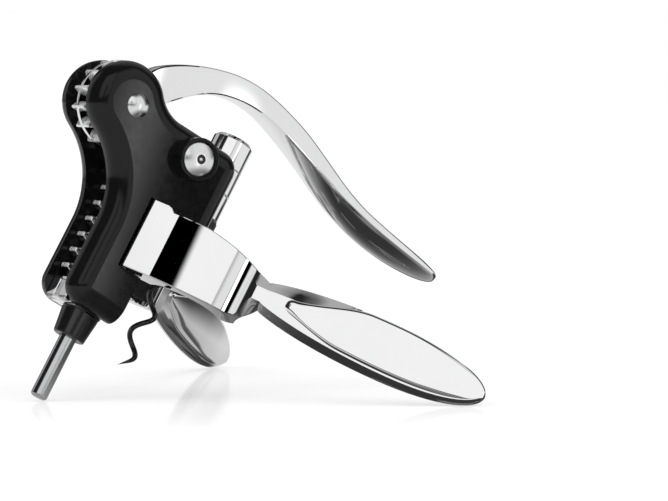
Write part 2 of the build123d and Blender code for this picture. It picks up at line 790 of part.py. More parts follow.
with BuildPart() as right_jaw:
    mirror(left_jaw.part, about=Plane.XZ)

pad_outer = jaw_bore_radius - seat_play
pad_inner = pad_outer - pad_thickness
pad_angles = (pad_start_angle, (pad_start_angle + pad_end_angle) / 2, pad_end_angle)

with BuildPart() as left_jaw_pad:
    with BuildSketch(jaw_plane.offset(jaw_bottom + pad_margin)):
        with BuildLine():
            ThreePointArc(*(polar(bottle, pad_outer, angle) for angle in pad_angles))
            Line(polar(bottle, pad_outer, pad_end_angle), polar(bottle, pad_inner, pad_end_angle))
            ThreePointArc(*(polar(bottle, pad_inner, angle) for angle in reversed(pad_angles)))
            Line(polar(bottle, pad_inner, pad_start_angle), polar(bottle, pad_outer, pad_start_angle))
        make_face()
    extrude(amount=jaw_height - jaw_step - 2 * pad_margin)

with BuildPart() as right_jaw_pad:
    mirror(left_jaw_pad.part, about=Plane.XZ)

with BuildPart() as left_hinge_pin:
    with BuildSketch(Plane.XY.offset(jaw_bottom - pin_embed + seat_play)):
        with Locations((hinge_x, hinge_y)):
            Circle(pin_radius)
    extrude(amount=jaw_height + 2 * (pin_embed - seat_play))

with BuildPart() as right_hinge_pin:
    mirror(left_hinge_pin.part, about=Plane.XZ)

# Stand the tool on its rod tip and handle tips, with the middle of its box over the origin
pieces = {
    "left_cheek": left_cheek,
    "right_cheek": right_cheek,
    "pivot_bolt": pivot_bolt,
    "pivot_cap": pivot_cap,
    "pivot_washers": pivot_washers,
    "guide_bolt": guide_bolt,
    "guide_cap": guide_cap,
    "guide_bush": guide_bush,
    "lever": lever,
    "rack": rack,
    "barrel": barrel,
    "barrel_cap": barrel_cap,
    "worm": worm,
    "worm_head": worm_head,
    "drive_nut": drive_nut,
    "nut_holder": nut_holder,
    "nut_plate": nut_plate,
    "nut_screws": nut_screws,
    "rod_collar": rod_collar,
    "slide_rod": slide_rod,
    "left_jaw": left_jaw,
    "right_jaw": right_jaw,
    "left_jaw_pad": left_jaw_pad,
    "right_jaw_pad": right_jaw_pad,
    "left_hinge_pin": left_hinge_pin,
    "right_hinge_pin": right_hinge_pin,
}


def lowest(piece, lean):
    """Height of a piece's lowest point when the tool leans forward by an angle."""
    return (Rotation(0, lean, 0) * piece.part).bounding_box().min.Z


lean_low, lean_high = 10.0, 60.0
while lean_high - lean_low > 1e-5:
    lean = (lean_low + lean_high) / 2
    if lowest(slide_rod, lean) < lowest(left_jaw, lean):
        lean_low = lean
    else:
        lean_high = lean

leaning = Compound(children=[Rotation(0, lean, 0) * piece.part for piece in pieces.values()])
box = leaning.bounding_box()
stand = Location((-box.center().X, -box.center().Y, -box.min.Z)) * Rotation(0, lean, 0)

os.makedirs("parts", exist_ok=True)
for name, piece in pieces.items():
    placed = stand * piece.part
    placed.label = name
    export_step(placed, f"parts/{name}.step")

print(f"lean {lean:.3f} deg, stroke {stroke:.2f} mm, box {box.size}")
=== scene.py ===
"""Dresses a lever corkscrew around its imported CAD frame: castings, teeth, wire, bolts and their finishes."""

import json
import logging
from dataclasses import dataclass
from enum import Enum
from math import acos, atan2, cos, degrees, hypot, pi, radians, sin, sqrt, tan
from typing import Iterable, Sequence

import bmesh
import bpy
from mathutils import Matrix, Vector


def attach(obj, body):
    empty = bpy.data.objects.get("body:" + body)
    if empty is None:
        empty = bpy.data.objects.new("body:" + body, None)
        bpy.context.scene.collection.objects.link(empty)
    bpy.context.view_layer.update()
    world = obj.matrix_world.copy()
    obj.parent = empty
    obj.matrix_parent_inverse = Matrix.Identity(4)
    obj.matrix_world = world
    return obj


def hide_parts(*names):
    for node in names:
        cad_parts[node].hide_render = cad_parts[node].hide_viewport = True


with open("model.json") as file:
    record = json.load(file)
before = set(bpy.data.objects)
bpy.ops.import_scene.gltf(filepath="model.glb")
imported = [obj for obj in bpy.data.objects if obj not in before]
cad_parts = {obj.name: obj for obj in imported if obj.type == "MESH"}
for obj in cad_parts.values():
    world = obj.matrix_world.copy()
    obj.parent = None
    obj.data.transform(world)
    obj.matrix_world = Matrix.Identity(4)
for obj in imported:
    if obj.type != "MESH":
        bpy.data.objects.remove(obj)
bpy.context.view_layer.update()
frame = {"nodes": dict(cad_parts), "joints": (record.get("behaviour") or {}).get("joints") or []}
log = logging.getLogger("corkscrew")

MM = 0.001
WELD = 2e-7
SHARP_ANGLE = radians(40)
CORNER_SHARE = 0.4
CORNER_HOLD = 1.2
ARC_STEPS = 60
SMALL_ROUND = 64
JAW_TURN = radians(37.6)
WHITE = (1.0, 1.0, 1.0, 1.0)
UPWARD = (0.0, 0.0, 1.0)

Flat = tuple[float, float]
Spot = tuple[float, float, float]
Ring = list[Spot]
Height = tuple[str, float]
Socket = bpy.types.NodeSocket
Piece = bpy.types.Object


class Body(str, Enum):
    """The CAD bodies that pieces ride on."""

    FRAME = "frame"
    LEVER = "lever"
    CARRIAGE = "carriage"
    WORM = "worm"
    LEFT_JAW = "left_jaw"
    RIGHT_JAW = "right_jaw"


class Side(Enum):
    """The two sides of the tool, as the sign of its Y axis."""

    LEFT = 1
    RIGHT = -1


def lerp(start: float, end: float, share: float) -> float:
    """Value at a share of the way from start to end."""
    return start + (end - start) * share


def ease(value: float, start: float, end: float) -> float:
    """Smooth step from 0 at start to 1 at end."""
    share = min(1.0, max(0.0, (value - start) / (end - start)))
    return share * share * (3 - 2 * share)


def blunt(value: float, start: float, power: float) -> float:
    """Rounded closing of a leaf: 1 up to start, 0 at 1."""
    return max(0.0, 1 - max(0.0, (value - start) / (1 - start)) ** power) ** 0.5


def polar(centre: Flat, radius: float, angle: float) -> Flat:
    """Point at an angle in degrees on a circle."""
    return (centre[0] + radius * cos(radians(angle)), centre[1] + radius * sin(radians(angle)))


def spread(start: float, end: float, count: int) -> list[float]:
    """Evenly spread values from start to end, both included."""
    return [lerp(start, end, step / (count - 1)) for step in range(count)]


def arc_through(start: Flat, middle: Flat, end: Flat, count: int) -> list[Flat]:
    """Points along the circle through three points.

    Args:
        start: First point of the arc.
        middle: A point that the arc passes.
        end: Last point of the arc.
        count: Number of points, both ends included.

    Returns:
        The points in order from start to end.
    """
    (ax, ay), (bx, by), (cx, cy) = start, middle, end
    area = 2 * (ax * (by - cy) + bx * (cy - ay) + cx * (ay - by))
    sa, sb, sc = ax * ax + ay * ay, bx * bx + by * by, cx * cx + cy * cy
    centre = (
        (sa * (by - cy) + sb * (cy - ay) + sc * (ay - by)) / area,
        (sa * (cx - bx) + sb * (ax - cx) + sc * (bx - ax)) / area,
    )
    radius = hypot(ax - centre[0], ay - centre[1])
    first, via, last = (degrees(atan2(y - centre[1], x - centre[0])) for x, y in (start, middle, end))
    turn = (last - first) % 360
    if (via - first) % 360 > turn:
        turn -= 360
    return [polar(centre, radius, first + turn * share) for share in spread(0, 1, count)]


def soften(corners: Sequence[Flat], radius: float, closed: bool = False, steps: int = 5) -> list[Flat]:
    """Rounds the corners of an outline and keeps its flats flat.

    Args:
        corners: Corner points in order.
        radius: Length that each corner takes from its two sides.
        closed: Whether the last corner joins the first.
        steps: Points along each rounded corner.

    Returns:
        The outline with a small curve and two support points at each corner.
    """
    result: list[Flat] = []
    count = len(corners)
    for at, corner in enumerate(corners):
        if not closed and at in (0, count - 1):
            result.append(corner)
            continue
        peak = Vector(corner)
        sides = [Vector(corners[beside % count]) - peak for beside in (at - 1, at + 1)]
        reach = [min(radius, CORNER_SHARE * side.length) for side in sides]
        entry, leave = (peak + side.normalized() * length for side, length in zip(sides, reach))
        held = [peak + side.normalized() * CORNER_HOLD * length for side, length in zip(sides, reach)]
        curve = [entry * (1 - share) ** 2 + peak * 2 * share * (1 - share) + leave * share**2
                 for share in spread(0, 1, steps)]
        result += [tuple(point) for point in (held[0], *curve, held[1])]
    return result


def bevelled(outline: Sequence[Flat], low: float, high: float, bevel: float, sink: int) -> list[Ring]:
    """Stretches an outline along Y and draws it in at both ends.

    Args:
        outline: Points in the XZ plane.
        low: Where it starts.
        high: Where it ends.
        bevel: Size of the bevel at both ends.
        sink: Sign of the direction along X that the ends are drawn in.

    Returns:
        The rings from low to high.
    """
    stops = ((low, bevel), (low + bevel, 0.0), (high - bevel, 0.0), (high, bevel))
    return [[(x + sink * inset, y, z * (1 - inset / 2)) for x, z in outline] for y, inset in stops]


def put(name: str, data: bpy.types.ID) -> Piece:
    """Puts a new object in the scene.

    Args:
        name: Name of the object.
        data: Mesh, lamp or camera that it shows.

    Returns:
        The object.
    """
    piece = bpy.data.objects.new(name, data)
    bpy.context.scene.collection.objects.link(piece)
    return piece


@dataclass(frozen=True)
class ToolFrame:
    """The tool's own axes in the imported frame, with its origin on the lever's pivot.

    Forward is where the handles point, square to the worm. Left runs from the near cheek to the far one.
    """

    pivot: Vector
    forward: Vector
    left: Vector
    up: Vector

    @classmethod
    def from_joints(cls, joints: Iterable[dict]) -> "ToolFrame":
        """Reads the axes from the lever's hinge and the carriage's slide.

        Args:
            joints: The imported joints.

        Returns:
            The tool's frame.
        """
        named = {joint["name"]: joint for joint in joints}
        up = Vector(named["carriage_slide"]["axis"]).normalized()
        left = Vector((0.0, 1.0, 0.0))
        return cls(Vector(named["lever_hinge"]["pos_m"]), left.cross(up), left, up)

    def place(self, x: float, y: float, z: float) -> Vector:
        """Point in metres for tool coordinates in millimetres."""
        return self.pivot + self.turn(x * MM, y * MM, z * MM)

    def turn(self, x: float, y: float, z: float) -> Vector:
        """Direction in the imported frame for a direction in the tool's axes."""
        return self.forward * x + self.left * y + self.up * z

    def matrix(self) -> Matrix:
        """Transform from the tool's axes, in metres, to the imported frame."""
        turned = Matrix((self.forward, self.left, self.up)).transposed().to_4x4()
        return Matrix.Translation(self.pivot) @ turned


class Nodes:
    """A short hand for building one node tree."""

    def __init__(self, tree: bpy.types.NodeTree) -> None:
        """Starts from an empty tree."""
        self.tree = tree
        tree.nodes.clear()

    def add(self, kind: str, inputs: dict | None = None, **settings: object) -> bpy.types.Node:
        """Adds a node, sets its properties and fills or links its inputs.

        Args:
            kind: Blender's name for the node type.
            inputs: Values or output sockets by input name or index.
            settings: Properties of the node.

        Returns:
            The new node.
        """
        node = self.tree.nodes.new(kind)
        for name, value in settings.items():
            setattr(node, name, value)
        for key, value in (inputs or {}).items():
            if isinstance(value, Socket):
                self.tree.links.new(value, node.inputs[key])
            else:
                node.inputs[key].default_value = value
        return node

    def math(self, operation: str, *values: object) -> Socket:
        """Output of a Math node over values or sockets."""
        return self.add("ShaderNodeMath", dict(enumerate(values)), operation=operation).outputs[0]

    def vector(self, operation: str, *values: object, output: str = "Vector") -> Socket:
        """Output of a Vector Math node over values or sockets."""
        return self.add("ShaderNodeVectorMath", dict(enumerate(values)), operation=operation).outputs[output]

    def ramp(self, value: Socket, low: float, high: float, start: float, end: float,
             smooth: bool = False) -> Socket:
        """Maps a range of values to another and holds its ends.

        Args:
            value: Output to map.
            low: Value that gives start.
            high: Value that gives end.
            start: Result at low.
            end: Result at high.
            smooth: Whether the result eases in and out.

        Returns:
            Output of the Map Range node.
        """
        style = "SMOOTHSTEP" if smooth else "LINEAR"
        sizes = {"Value": value, "From Min": low, "From Max": high, "To Min": start, "To Max": end}
        return self.add("ShaderNodeMapRange", sizes, interpolation_type=style).outputs["Result"]

    def mix(self, share: object, first: object, second: object) -> Socket:
        """Output of a Mix node between two values or sockets."""
        return self.add("ShaderNodeMix", {"Factor": share, 2: first, 3: second}).outputs[0]

    def overlay(self, share: Socket, under: bpy.types.Node, over: bpy.types.Node) -> bpy.types.Node:
        """Mix Shader node between two shaders."""
        return self.add("ShaderNodeMixShader", {0: share, 1: under.outputs[0], 2: over.outputs[0]})


def blank_material(name: str) -> tuple[bpy.types.Material, Nodes]:
    """Makes a material with an empty node tree.

    Args:
        name: Name of the material.

    Returns:
        The material and its nodes.
    """
    material = bpy.data.materials.new(name)
    material.use_nodes = True
    return material, Nodes(material.node_tree)


@dataclass(frozen=True)
class Finish:
    """One surface finish, worked out from noise over the piece's own coordinates.

    Noise scales (grain, relief_scale) are per metre, and the relief's height is in metres. The wear's noise
    drives the roughness, and detail has the octaves of the colour's, the wear's and the relief's noise.
    """

    slot: str
    dark: Spot
    pale: Spot
    rough_low: float
    rough_high: float
    grain: float
    relief: float
    relief_scale: float
    metallic: float = 0.0
    specular: float = 0.5
    tag: str = "finish"
    detail: Spot = (4.0, 6.0, 3.0)
    wear: float = 3.1
    wear_span: Flat = (0.3, 0.7)

    def material(self) -> bpy.types.Material:
        """Material of this finish, made once.

        Returns:
            The material with its colour, roughness and relief driven by noise.
        """
        name = f"{self.slot}_{self.tag}"
        known = bpy.data.materials.get(name)
        if known:
            return known
        material, nodes = blank_material(name)
        place = nodes.add("ShaderNodeTexCoord").outputs["Object"]
        scales = (self.grain, self.grain * self.wear, self.relief_scale)
        cloud, wear, fine = (
            nodes.add("ShaderNodeTexNoise", {"Vector": place, "Scale": size, "Detail": detail}).outputs["Fac"]
            for size, detail in zip(scales, self.detail)
        )
        colour = nodes.add("ShaderNodeMix", {"Factor": cloud, 6: (*self.dark, 1.0), 7: (*self.pale, 1.0)},
                           data_type="RGBA")
        rough = nodes.ramp(wear, *self.wear_span, self.rough_low, self.rough_high)
        bump = nodes.add("ShaderNodeBump", {"Height": fine, "Distance": self.relief, "Strength": 1.0})
        shader = nodes.add(
            "ShaderNodeBsdfPrincipled",
            {
                "Base Color": colour.outputs[2],
                "Roughness": rough,
                "Normal": bump.outputs["Normal"],
                "Metallic": self.metallic,
                "Specular IOR Level": self.specular,
            },
        )
        nodes.add("ShaderNodeOutputMaterial", {"Surface": shader.outputs[0]})
        return material


CHROME = Finish(
    "chrome", (0.84, 0.845, 0.85), (0.9, 0.9, 0.905), 0.008, 0.018, 60.0, 2e-7, 900.0, metallic=1.0
)
SATIN_CHROME = Finish(
    "chrome", (0.76, 0.765, 0.77), (0.84, 0.845, 0.85), 0.2, 0.27, 120.0, 4e-7, 1200.0, metallic=1.0,
    tag="satin",
)
ROD_STEEL = Finish(
    "chrome", (0.5, 0.505, 0.51), (0.6, 0.605, 0.61), 0.12, 0.18, 160.0, 5e-7, 1300.0, metallic=1.0,
    tag="ground",
)
STEEL = Finish(
    "bright_steel", (0.74, 0.745, 0.75), (0.86, 0.865, 0.87), 0.22, 0.36, 240.0, 9e-7, 1500.0, metallic=0.6
)
GLOSS_BLACK = Finish(
    "black_gloss_plastic", (0.004, 0.004, 0.0045), (0.007, 0.007, 0.0075), 0.1, 0.15, 150.0, 6e-7, 1400.0,
    specular=0.25,
)
SATIN_BLACK = Finish(
    "black_satin_plastic", (0.009, 0.009, 0.0095), (0.016, 0.016, 0.017), 0.34, 0.46, 300.0, 8e-6, 2600.0,
    specular=0.4,
)
HALF_GLOSS_BLACK = Finish(
    "black_satin_plastic", (0.006, 0.006, 0.0065), (0.01, 0.01, 0.0105), 0.16, 0.22, 300.0, 1e-6, 2000.0,
    specular=0.6, tag="half_gloss",
)
WIRE_COATING = Finish(
    "coated_wire", (0.005, 0.005, 0.005), (0.011, 0.011, 0.011), 0.14, 0.24, 500.0, 2e-6, 3200.0,
    specular=0.6,
)
SOFT_GRIP = Finish(
    "soft_black", (0.012, 0.012, 0.012), (0.022, 0.022, 0.022), 0.6, 0.75, 700.0, 2e-5, 3800.0,
    specular=0.3,
)


@dataclass(frozen=True)
class Workshop:
    """Turns tool-frame points in millimetres into finished pieces."""

    tool: ToolFrame

    def _object(self, bm: bmesh.types.BMesh, name: str) -> Piece:
        """Welds, orients and smooths a mesh and puts it in the scene.

        Args:
            bm: The mesh, which is freed.
            name: Name of the piece.

        Returns:
            The new object.
        """
        bmesh.ops.remove_doubles(bm, verts=bm.verts, dist=WELD)
        bmesh.ops.dissolve_degenerate(bm, edges=bm.edges, dist=WELD)
        bmesh.ops.recalc_face_normals(bm, faces=bm.faces)
        mesh = bpy.data.meshes.new(name)
        bm.to_mesh(mesh)
        bm.free()
        mesh.shade_smooth()
        mesh.set_sharp_from_angle(angle=SHARP_ANGLE)
        return put(name, mesh)

    @staticmethod
    def _join(bm: bmesh.types.BMesh, near: Sequence, far: Sequence) -> None:
        """Joins two rings of points with faces.

        Args:
            bm: The mesh.
            near: Points of the first ring.
            far: Points of the second ring.
        """
        for at in range(len(near)):
            after = (at + 1) % len(near)
            bm.faces.new((near[at], near[after], far[after], far[at]))

    def skin(self, name: str, *sets: Sequence[Ring], loose: bool = False) -> Piece:
        """Stretches a closed skin over each set of rings.

        Args:
            name: Name of the piece.
            sets: Rings with the same number of points in each set.
            loose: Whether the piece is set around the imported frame's origin and not around the pivot.

        Returns:
            The new object.
        """
        bm = bmesh.new()
        origin = Vector() if loose else self.tool.pivot
        for rings in sets:
            rows = [
                [bm.verts.new(origin + self.tool.turn(*(value * MM for value in spot))) for spot in ring]
                for ring in rings
            ]
            for near, far in zip(rows, rows[1:]):
                self._join(bm, near, far)
            for row in (rows[0], rows[-1]):
                middle = bm.verts.new(sum((vert.co for vert in row), Vector()) / len(row))
                for at in range(len(row)):
                    bm.faces.new((row[at], row[(at + 1) % len(row)], middle))
        return self._object(bm, name)

    def lathe(self, name: str, foot: Spot, axis: Spot, profile: Sequence[Flat], body: Body, finish: Finish,
              *nodes: str, bored: bool = False, steps: int = 96) -> None:
        """Turns a profile round an axis and fits the piece.

        Args:
            name: Name of the piece.
            foot: Point on the axis where the profile's height is 0.
            axis: Direction of the axis in the tool's frame.
            profile: Radius and height along the outline.
            body: Body that it rides on.
            finish: Its surface finish.
            nodes: CAD nodes that it replaces.
            bored: Whether the outline closes on itself round a bore.
            steps: Facets round the axis.
        """
        bm = bmesh.new()
        along = Vector(axis)
        across = Vector((1.0, 0.0, 0.0))
        beside = along.cross(across)
        ways = [across * cos(angle) + beside * sin(angle)
                for angle in (2 * pi * step / steps for step in range(steps))]
        rows = [
            [bm.verts.new(self.tool.place(*(Vector(foot) + along * height + way * radius))) for way in ways]
            for radius, height in profile
        ]
        for near, far in zip(rows, rows[1:] + rows[:1] if bored else rows[1:]):
            self._join(bm, near, far)
        self.fit(self._object(bm, name), body, finish, *nodes)

    def fit(self, piece: Piece, body: Body, finish: Finish, *nodes: str) -> None:
        """Gives a piece its finish, its body and the CAD nodes that it stands for.

        Args:
            piece: The piece to fit.
            body: Body that it rides on.
            finish: Its surface finish.
            nodes: CAD nodes that it replaces.
        """
        piece.data.materials.clear()
        piece.data.materials.append(finish.material())
        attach(piece, body.value)
        if nodes:
            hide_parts(*nodes)
        log.info("%s rides on %s, %d faces", piece.name, body.value, len(piece.data.polygons))

    def dress(self, finish: Finish, *nodes: str) -> None:
        """Gives CAD nodes that stay in view a finish.

        Args:
            finish: The surface finish.
            nodes: Names of the nodes.
        """
        for name in nodes:
            node = frame["nodes"][name]
            if not node.material_slots:
                node.data.materials.append(None)
            for slot in node.material_slots:
                slot.material = finish.material()
            log.info("%s keeps its CAD shape", name)


class PieceTree:
    """A Geometry Nodes tree with named inputs that makes pieces as plain meshes."""

    def __init__(self, name: str, kinds: dict[str, str]) -> None:
        """Opens the tree.

        Args:
            name: Name of the tree.
            kinds: Kind of socket by the input's name.
        """
        self.tree = bpy.data.node_groups.new(name, "GeometryNodeTree")
        self.nodes = Nodes(self.tree)
        face = self.tree.interface
        self.sockets = {
            key: face.new_socket(key, in_out="INPUT", socket_type="NodeSocket" + kind).identifier
            for key, kind in kinds.items()
        }
        face.new_socket("Geometry", in_out="OUTPUT", socket_type="NodeSocketGeometry")
        self.given = self.nodes.add("NodeGroupInput").outputs

    def close(self, shape: Socket) -> None:
        """Makes the shape real, gives it the finish and hands it out.

        Args:
            shape: Output with the shape.
        """
        real = self.nodes.add("GeometryNodeRealizeInstances", {"Geometry": shape}).outputs[0]
        done = self.nodes.add("GeometryNodeSetMaterial", {"Geometry": real, "Material": self.given["Finish"]})
        self.nodes.add("NodeGroupOutput", {"Geometry": done.outputs[0]})

    def piece(self, name: str, **values: object) -> Piece:
        """Runs the tree and keeps the result as a mesh.

        Args:
            name: Name of the new piece.
            values: Input values by name.

        Returns:
            The piece, with no modifier left on it.
        """
        piece = put(name, bpy.data.meshes.new(name + "_points"))
        modifier = piece.modifiers.new("nodes", "NODES")
        modifier.node_group = self.tree
        for key, value in values.items():
            modifier[self.sockets[key]] = value
        graph = bpy.context.evaluated_depsgraph_get()
        mesh = bpy.data.meshes.new_from_object(piece.evaluated_get(graph))
        piece.modifiers.remove(modifier)
        piece.data = mesh
        mesh.name = piece.name
        return piece


class ToothRow(PieceTree):
    """Sets copies of a tooth along a line from the pivot, each turned a step further."""

    def __init__(self, shop: Workshop) -> None:
        """Builds the tree.

        Args:
            shop: The workshop that fits the rows.
        """
        self.shop = shop
        super().__init__("tooth_row", {
            "Count": "Int", "Tooth": "Object", "Start": "Vector", "Offset": "Vector", "First": "Float",
            "Step": "Float", "Finish": "Material",
        })
        nodes, given = self.nodes, self.given
        line = nodes.add(
            "GeometryNodeMeshLine",
            {"Count": given["Count"], "Start Location": given["Start"], "Offset": given["Offset"]},
        )
        index = nodes.add("GeometryNodeInputIndex").outputs[0]
        turn = nodes.add(
            "ShaderNodeCombineXYZ", {"Y": nodes.math("MULTIPLY_ADD", index, given["Step"], given["First"])}
        )
        tooth = nodes.add("GeometryNodeObjectInfo", {"Object": given["Tooth"]})
        row = nodes.add(
            "GeometryNodeInstanceOnPoints",
            {"Points": line.outputs[0], "Instance": tooth.outputs["Geometry"], "Rotation": turn.outputs[0]},
        )
        self.close(row.outputs[0])

    def row(self, name: str, form: Piece, count: int, body: Body, finish: Finish,
            offset: Spot | Vector = (0.0, 0.0, 0.0), first: float = 0.0, step: float = 0.0) -> None:
        """Makes and fits one row of teeth and throws the single tooth away.

        Args:
            name: Name of the row.
            form: The single tooth around the origin.
            count: Number of teeth.
            body: Body that the row rides on.
            finish: Its surface finish.
            offset: Way from tooth to tooth.
            first: Turn of the first tooth round Y.
            step: Turn from tooth to tooth.
        """
        row = self.piece(name, Count=count, Tooth=form, Start=self.shop.tool.pivot, Offset=offset,
                         First=first, Step=step, Finish=finish.material())
        bpy.data.objects.remove(form)
        self.shop.fit(row, body, finish)


class WireTree(PieceTree):
    """Sweeps a wire with a tapered point along a helix."""

    def __init__(self, least: float) -> None:
        """Builds the tree.

        Args:
            least: Thickness of the wire's point over the wire's.
        """
        super().__init__("worm_wire", {
            "Turns": "Float", "Coil": "Float", "Height": "Float", "Wire": "Float", "Taper": "Float",
            "Resolution": "Int", "Facets": "Int", "Finish": "Material",
        })
        nodes, given = self.nodes, self.given
        spiral = nodes.add(
            "GeometryNodeCurveSpiral",
            {"Resolution": given["Resolution"], "Rotations": given["Turns"], "Start Radius": given["Coil"],
             "End Radius": given["Coil"], "Height": given["Height"], "Reverse": True},
        )
        way = nodes.add("GeometryNodeSplineParameter").outputs["Factor"]
        share = nodes.math("MINIMUM", nodes.math("DIVIDE", way, given["Taper"]), 1.0)
        swell = nodes.math("MAXIMUM", nodes.math("SINE", nodes.math("MULTIPLY", share, pi / 2)), least)
        ring = nodes.add("GeometryNodeCurvePrimitiveCircle",
                         {"Resolution": given["Facets"], "Radius": given["Wire"]})
        tube = nodes.add("GeometryNodeCurveToMesh",
                         {"Curve": spiral.outputs[0], "Profile Curve": ring.outputs[0], "Scale": swell,
                          "Fill Caps": True})
        self.close(nodes.add("GeometryNodeSetShadeSmooth", {"Geometry": tube.outputs[0]}).outputs[0])


@dataclass
class GearCut:
    """Tooth form shared by the lever's gear and the rack, in millimetres and degrees.

    Phase is the angle of the first tooth, and depth the tooth's depth below the pitch line in modules.
    """

    teeth: int = 14
    module: float = 2.25
    pressure: float = 25.0
    backlash: float = 0.24
    phase: float = 6.0
    depth: float = 1.25

    @property
    def pitch_radius(self) -> float:
        """Radius of the pitch circle."""
        return self.module * self.teeth / 2

    @property
    def tip_radius(self) -> float:
        """Radius over the teeth."""
        return self.pitch_radius + self.module

    @property
    def root_radius(self) -> float:
        """Radius between the teeth."""
        return self.pitch_radius - self.depth * self.module

    @property
    def base_radius(self) -> float:
        """Radius where the involute starts."""
        return self.pitch_radius * cos(radians(self.pressure))

    @property
    def rack_pitch(self) -> float:
        """Distance from tooth to tooth along the rack."""
        return pi * self.module

    @property
    def rack_crest(self) -> float:
        """Distance of the rack's crests from the pivot."""
        return self.pitch_radius - self.module

    @property
    def rack_root(self) -> float:
        """Distance of the rack's roots from the pivot."""
        return self.pitch_radius + self.depth * self.module

    @property
    def rack_slope(self) -> float:
        """Slope of the rack's flanks."""
        return tan(radians(self.pressure))

    @property
    def crest_half(self) -> float:
        """Half height of a rack tooth's crest."""
        return self.rack_pitch / 4 - self.backlash / 4 - self.module * self.rack_slope

    def flank(self, radius: float) -> float:
        """Half angle of a tooth at a radius.

        Args:
            radius: Distance from the gear's axis.

        Returns:
            The angle in degrees.
        """
        at_pitch = (self.rack_pitch / 2 - self.backlash / 2) / 2 / self.pitch_radius
        pressed = acos(min(1.0, self.base_radius / radius))
        at_rest = radians(self.pressure)
        return degrees(at_pitch + tan(at_rest) - at_rest - tan(pressed) + pressed)


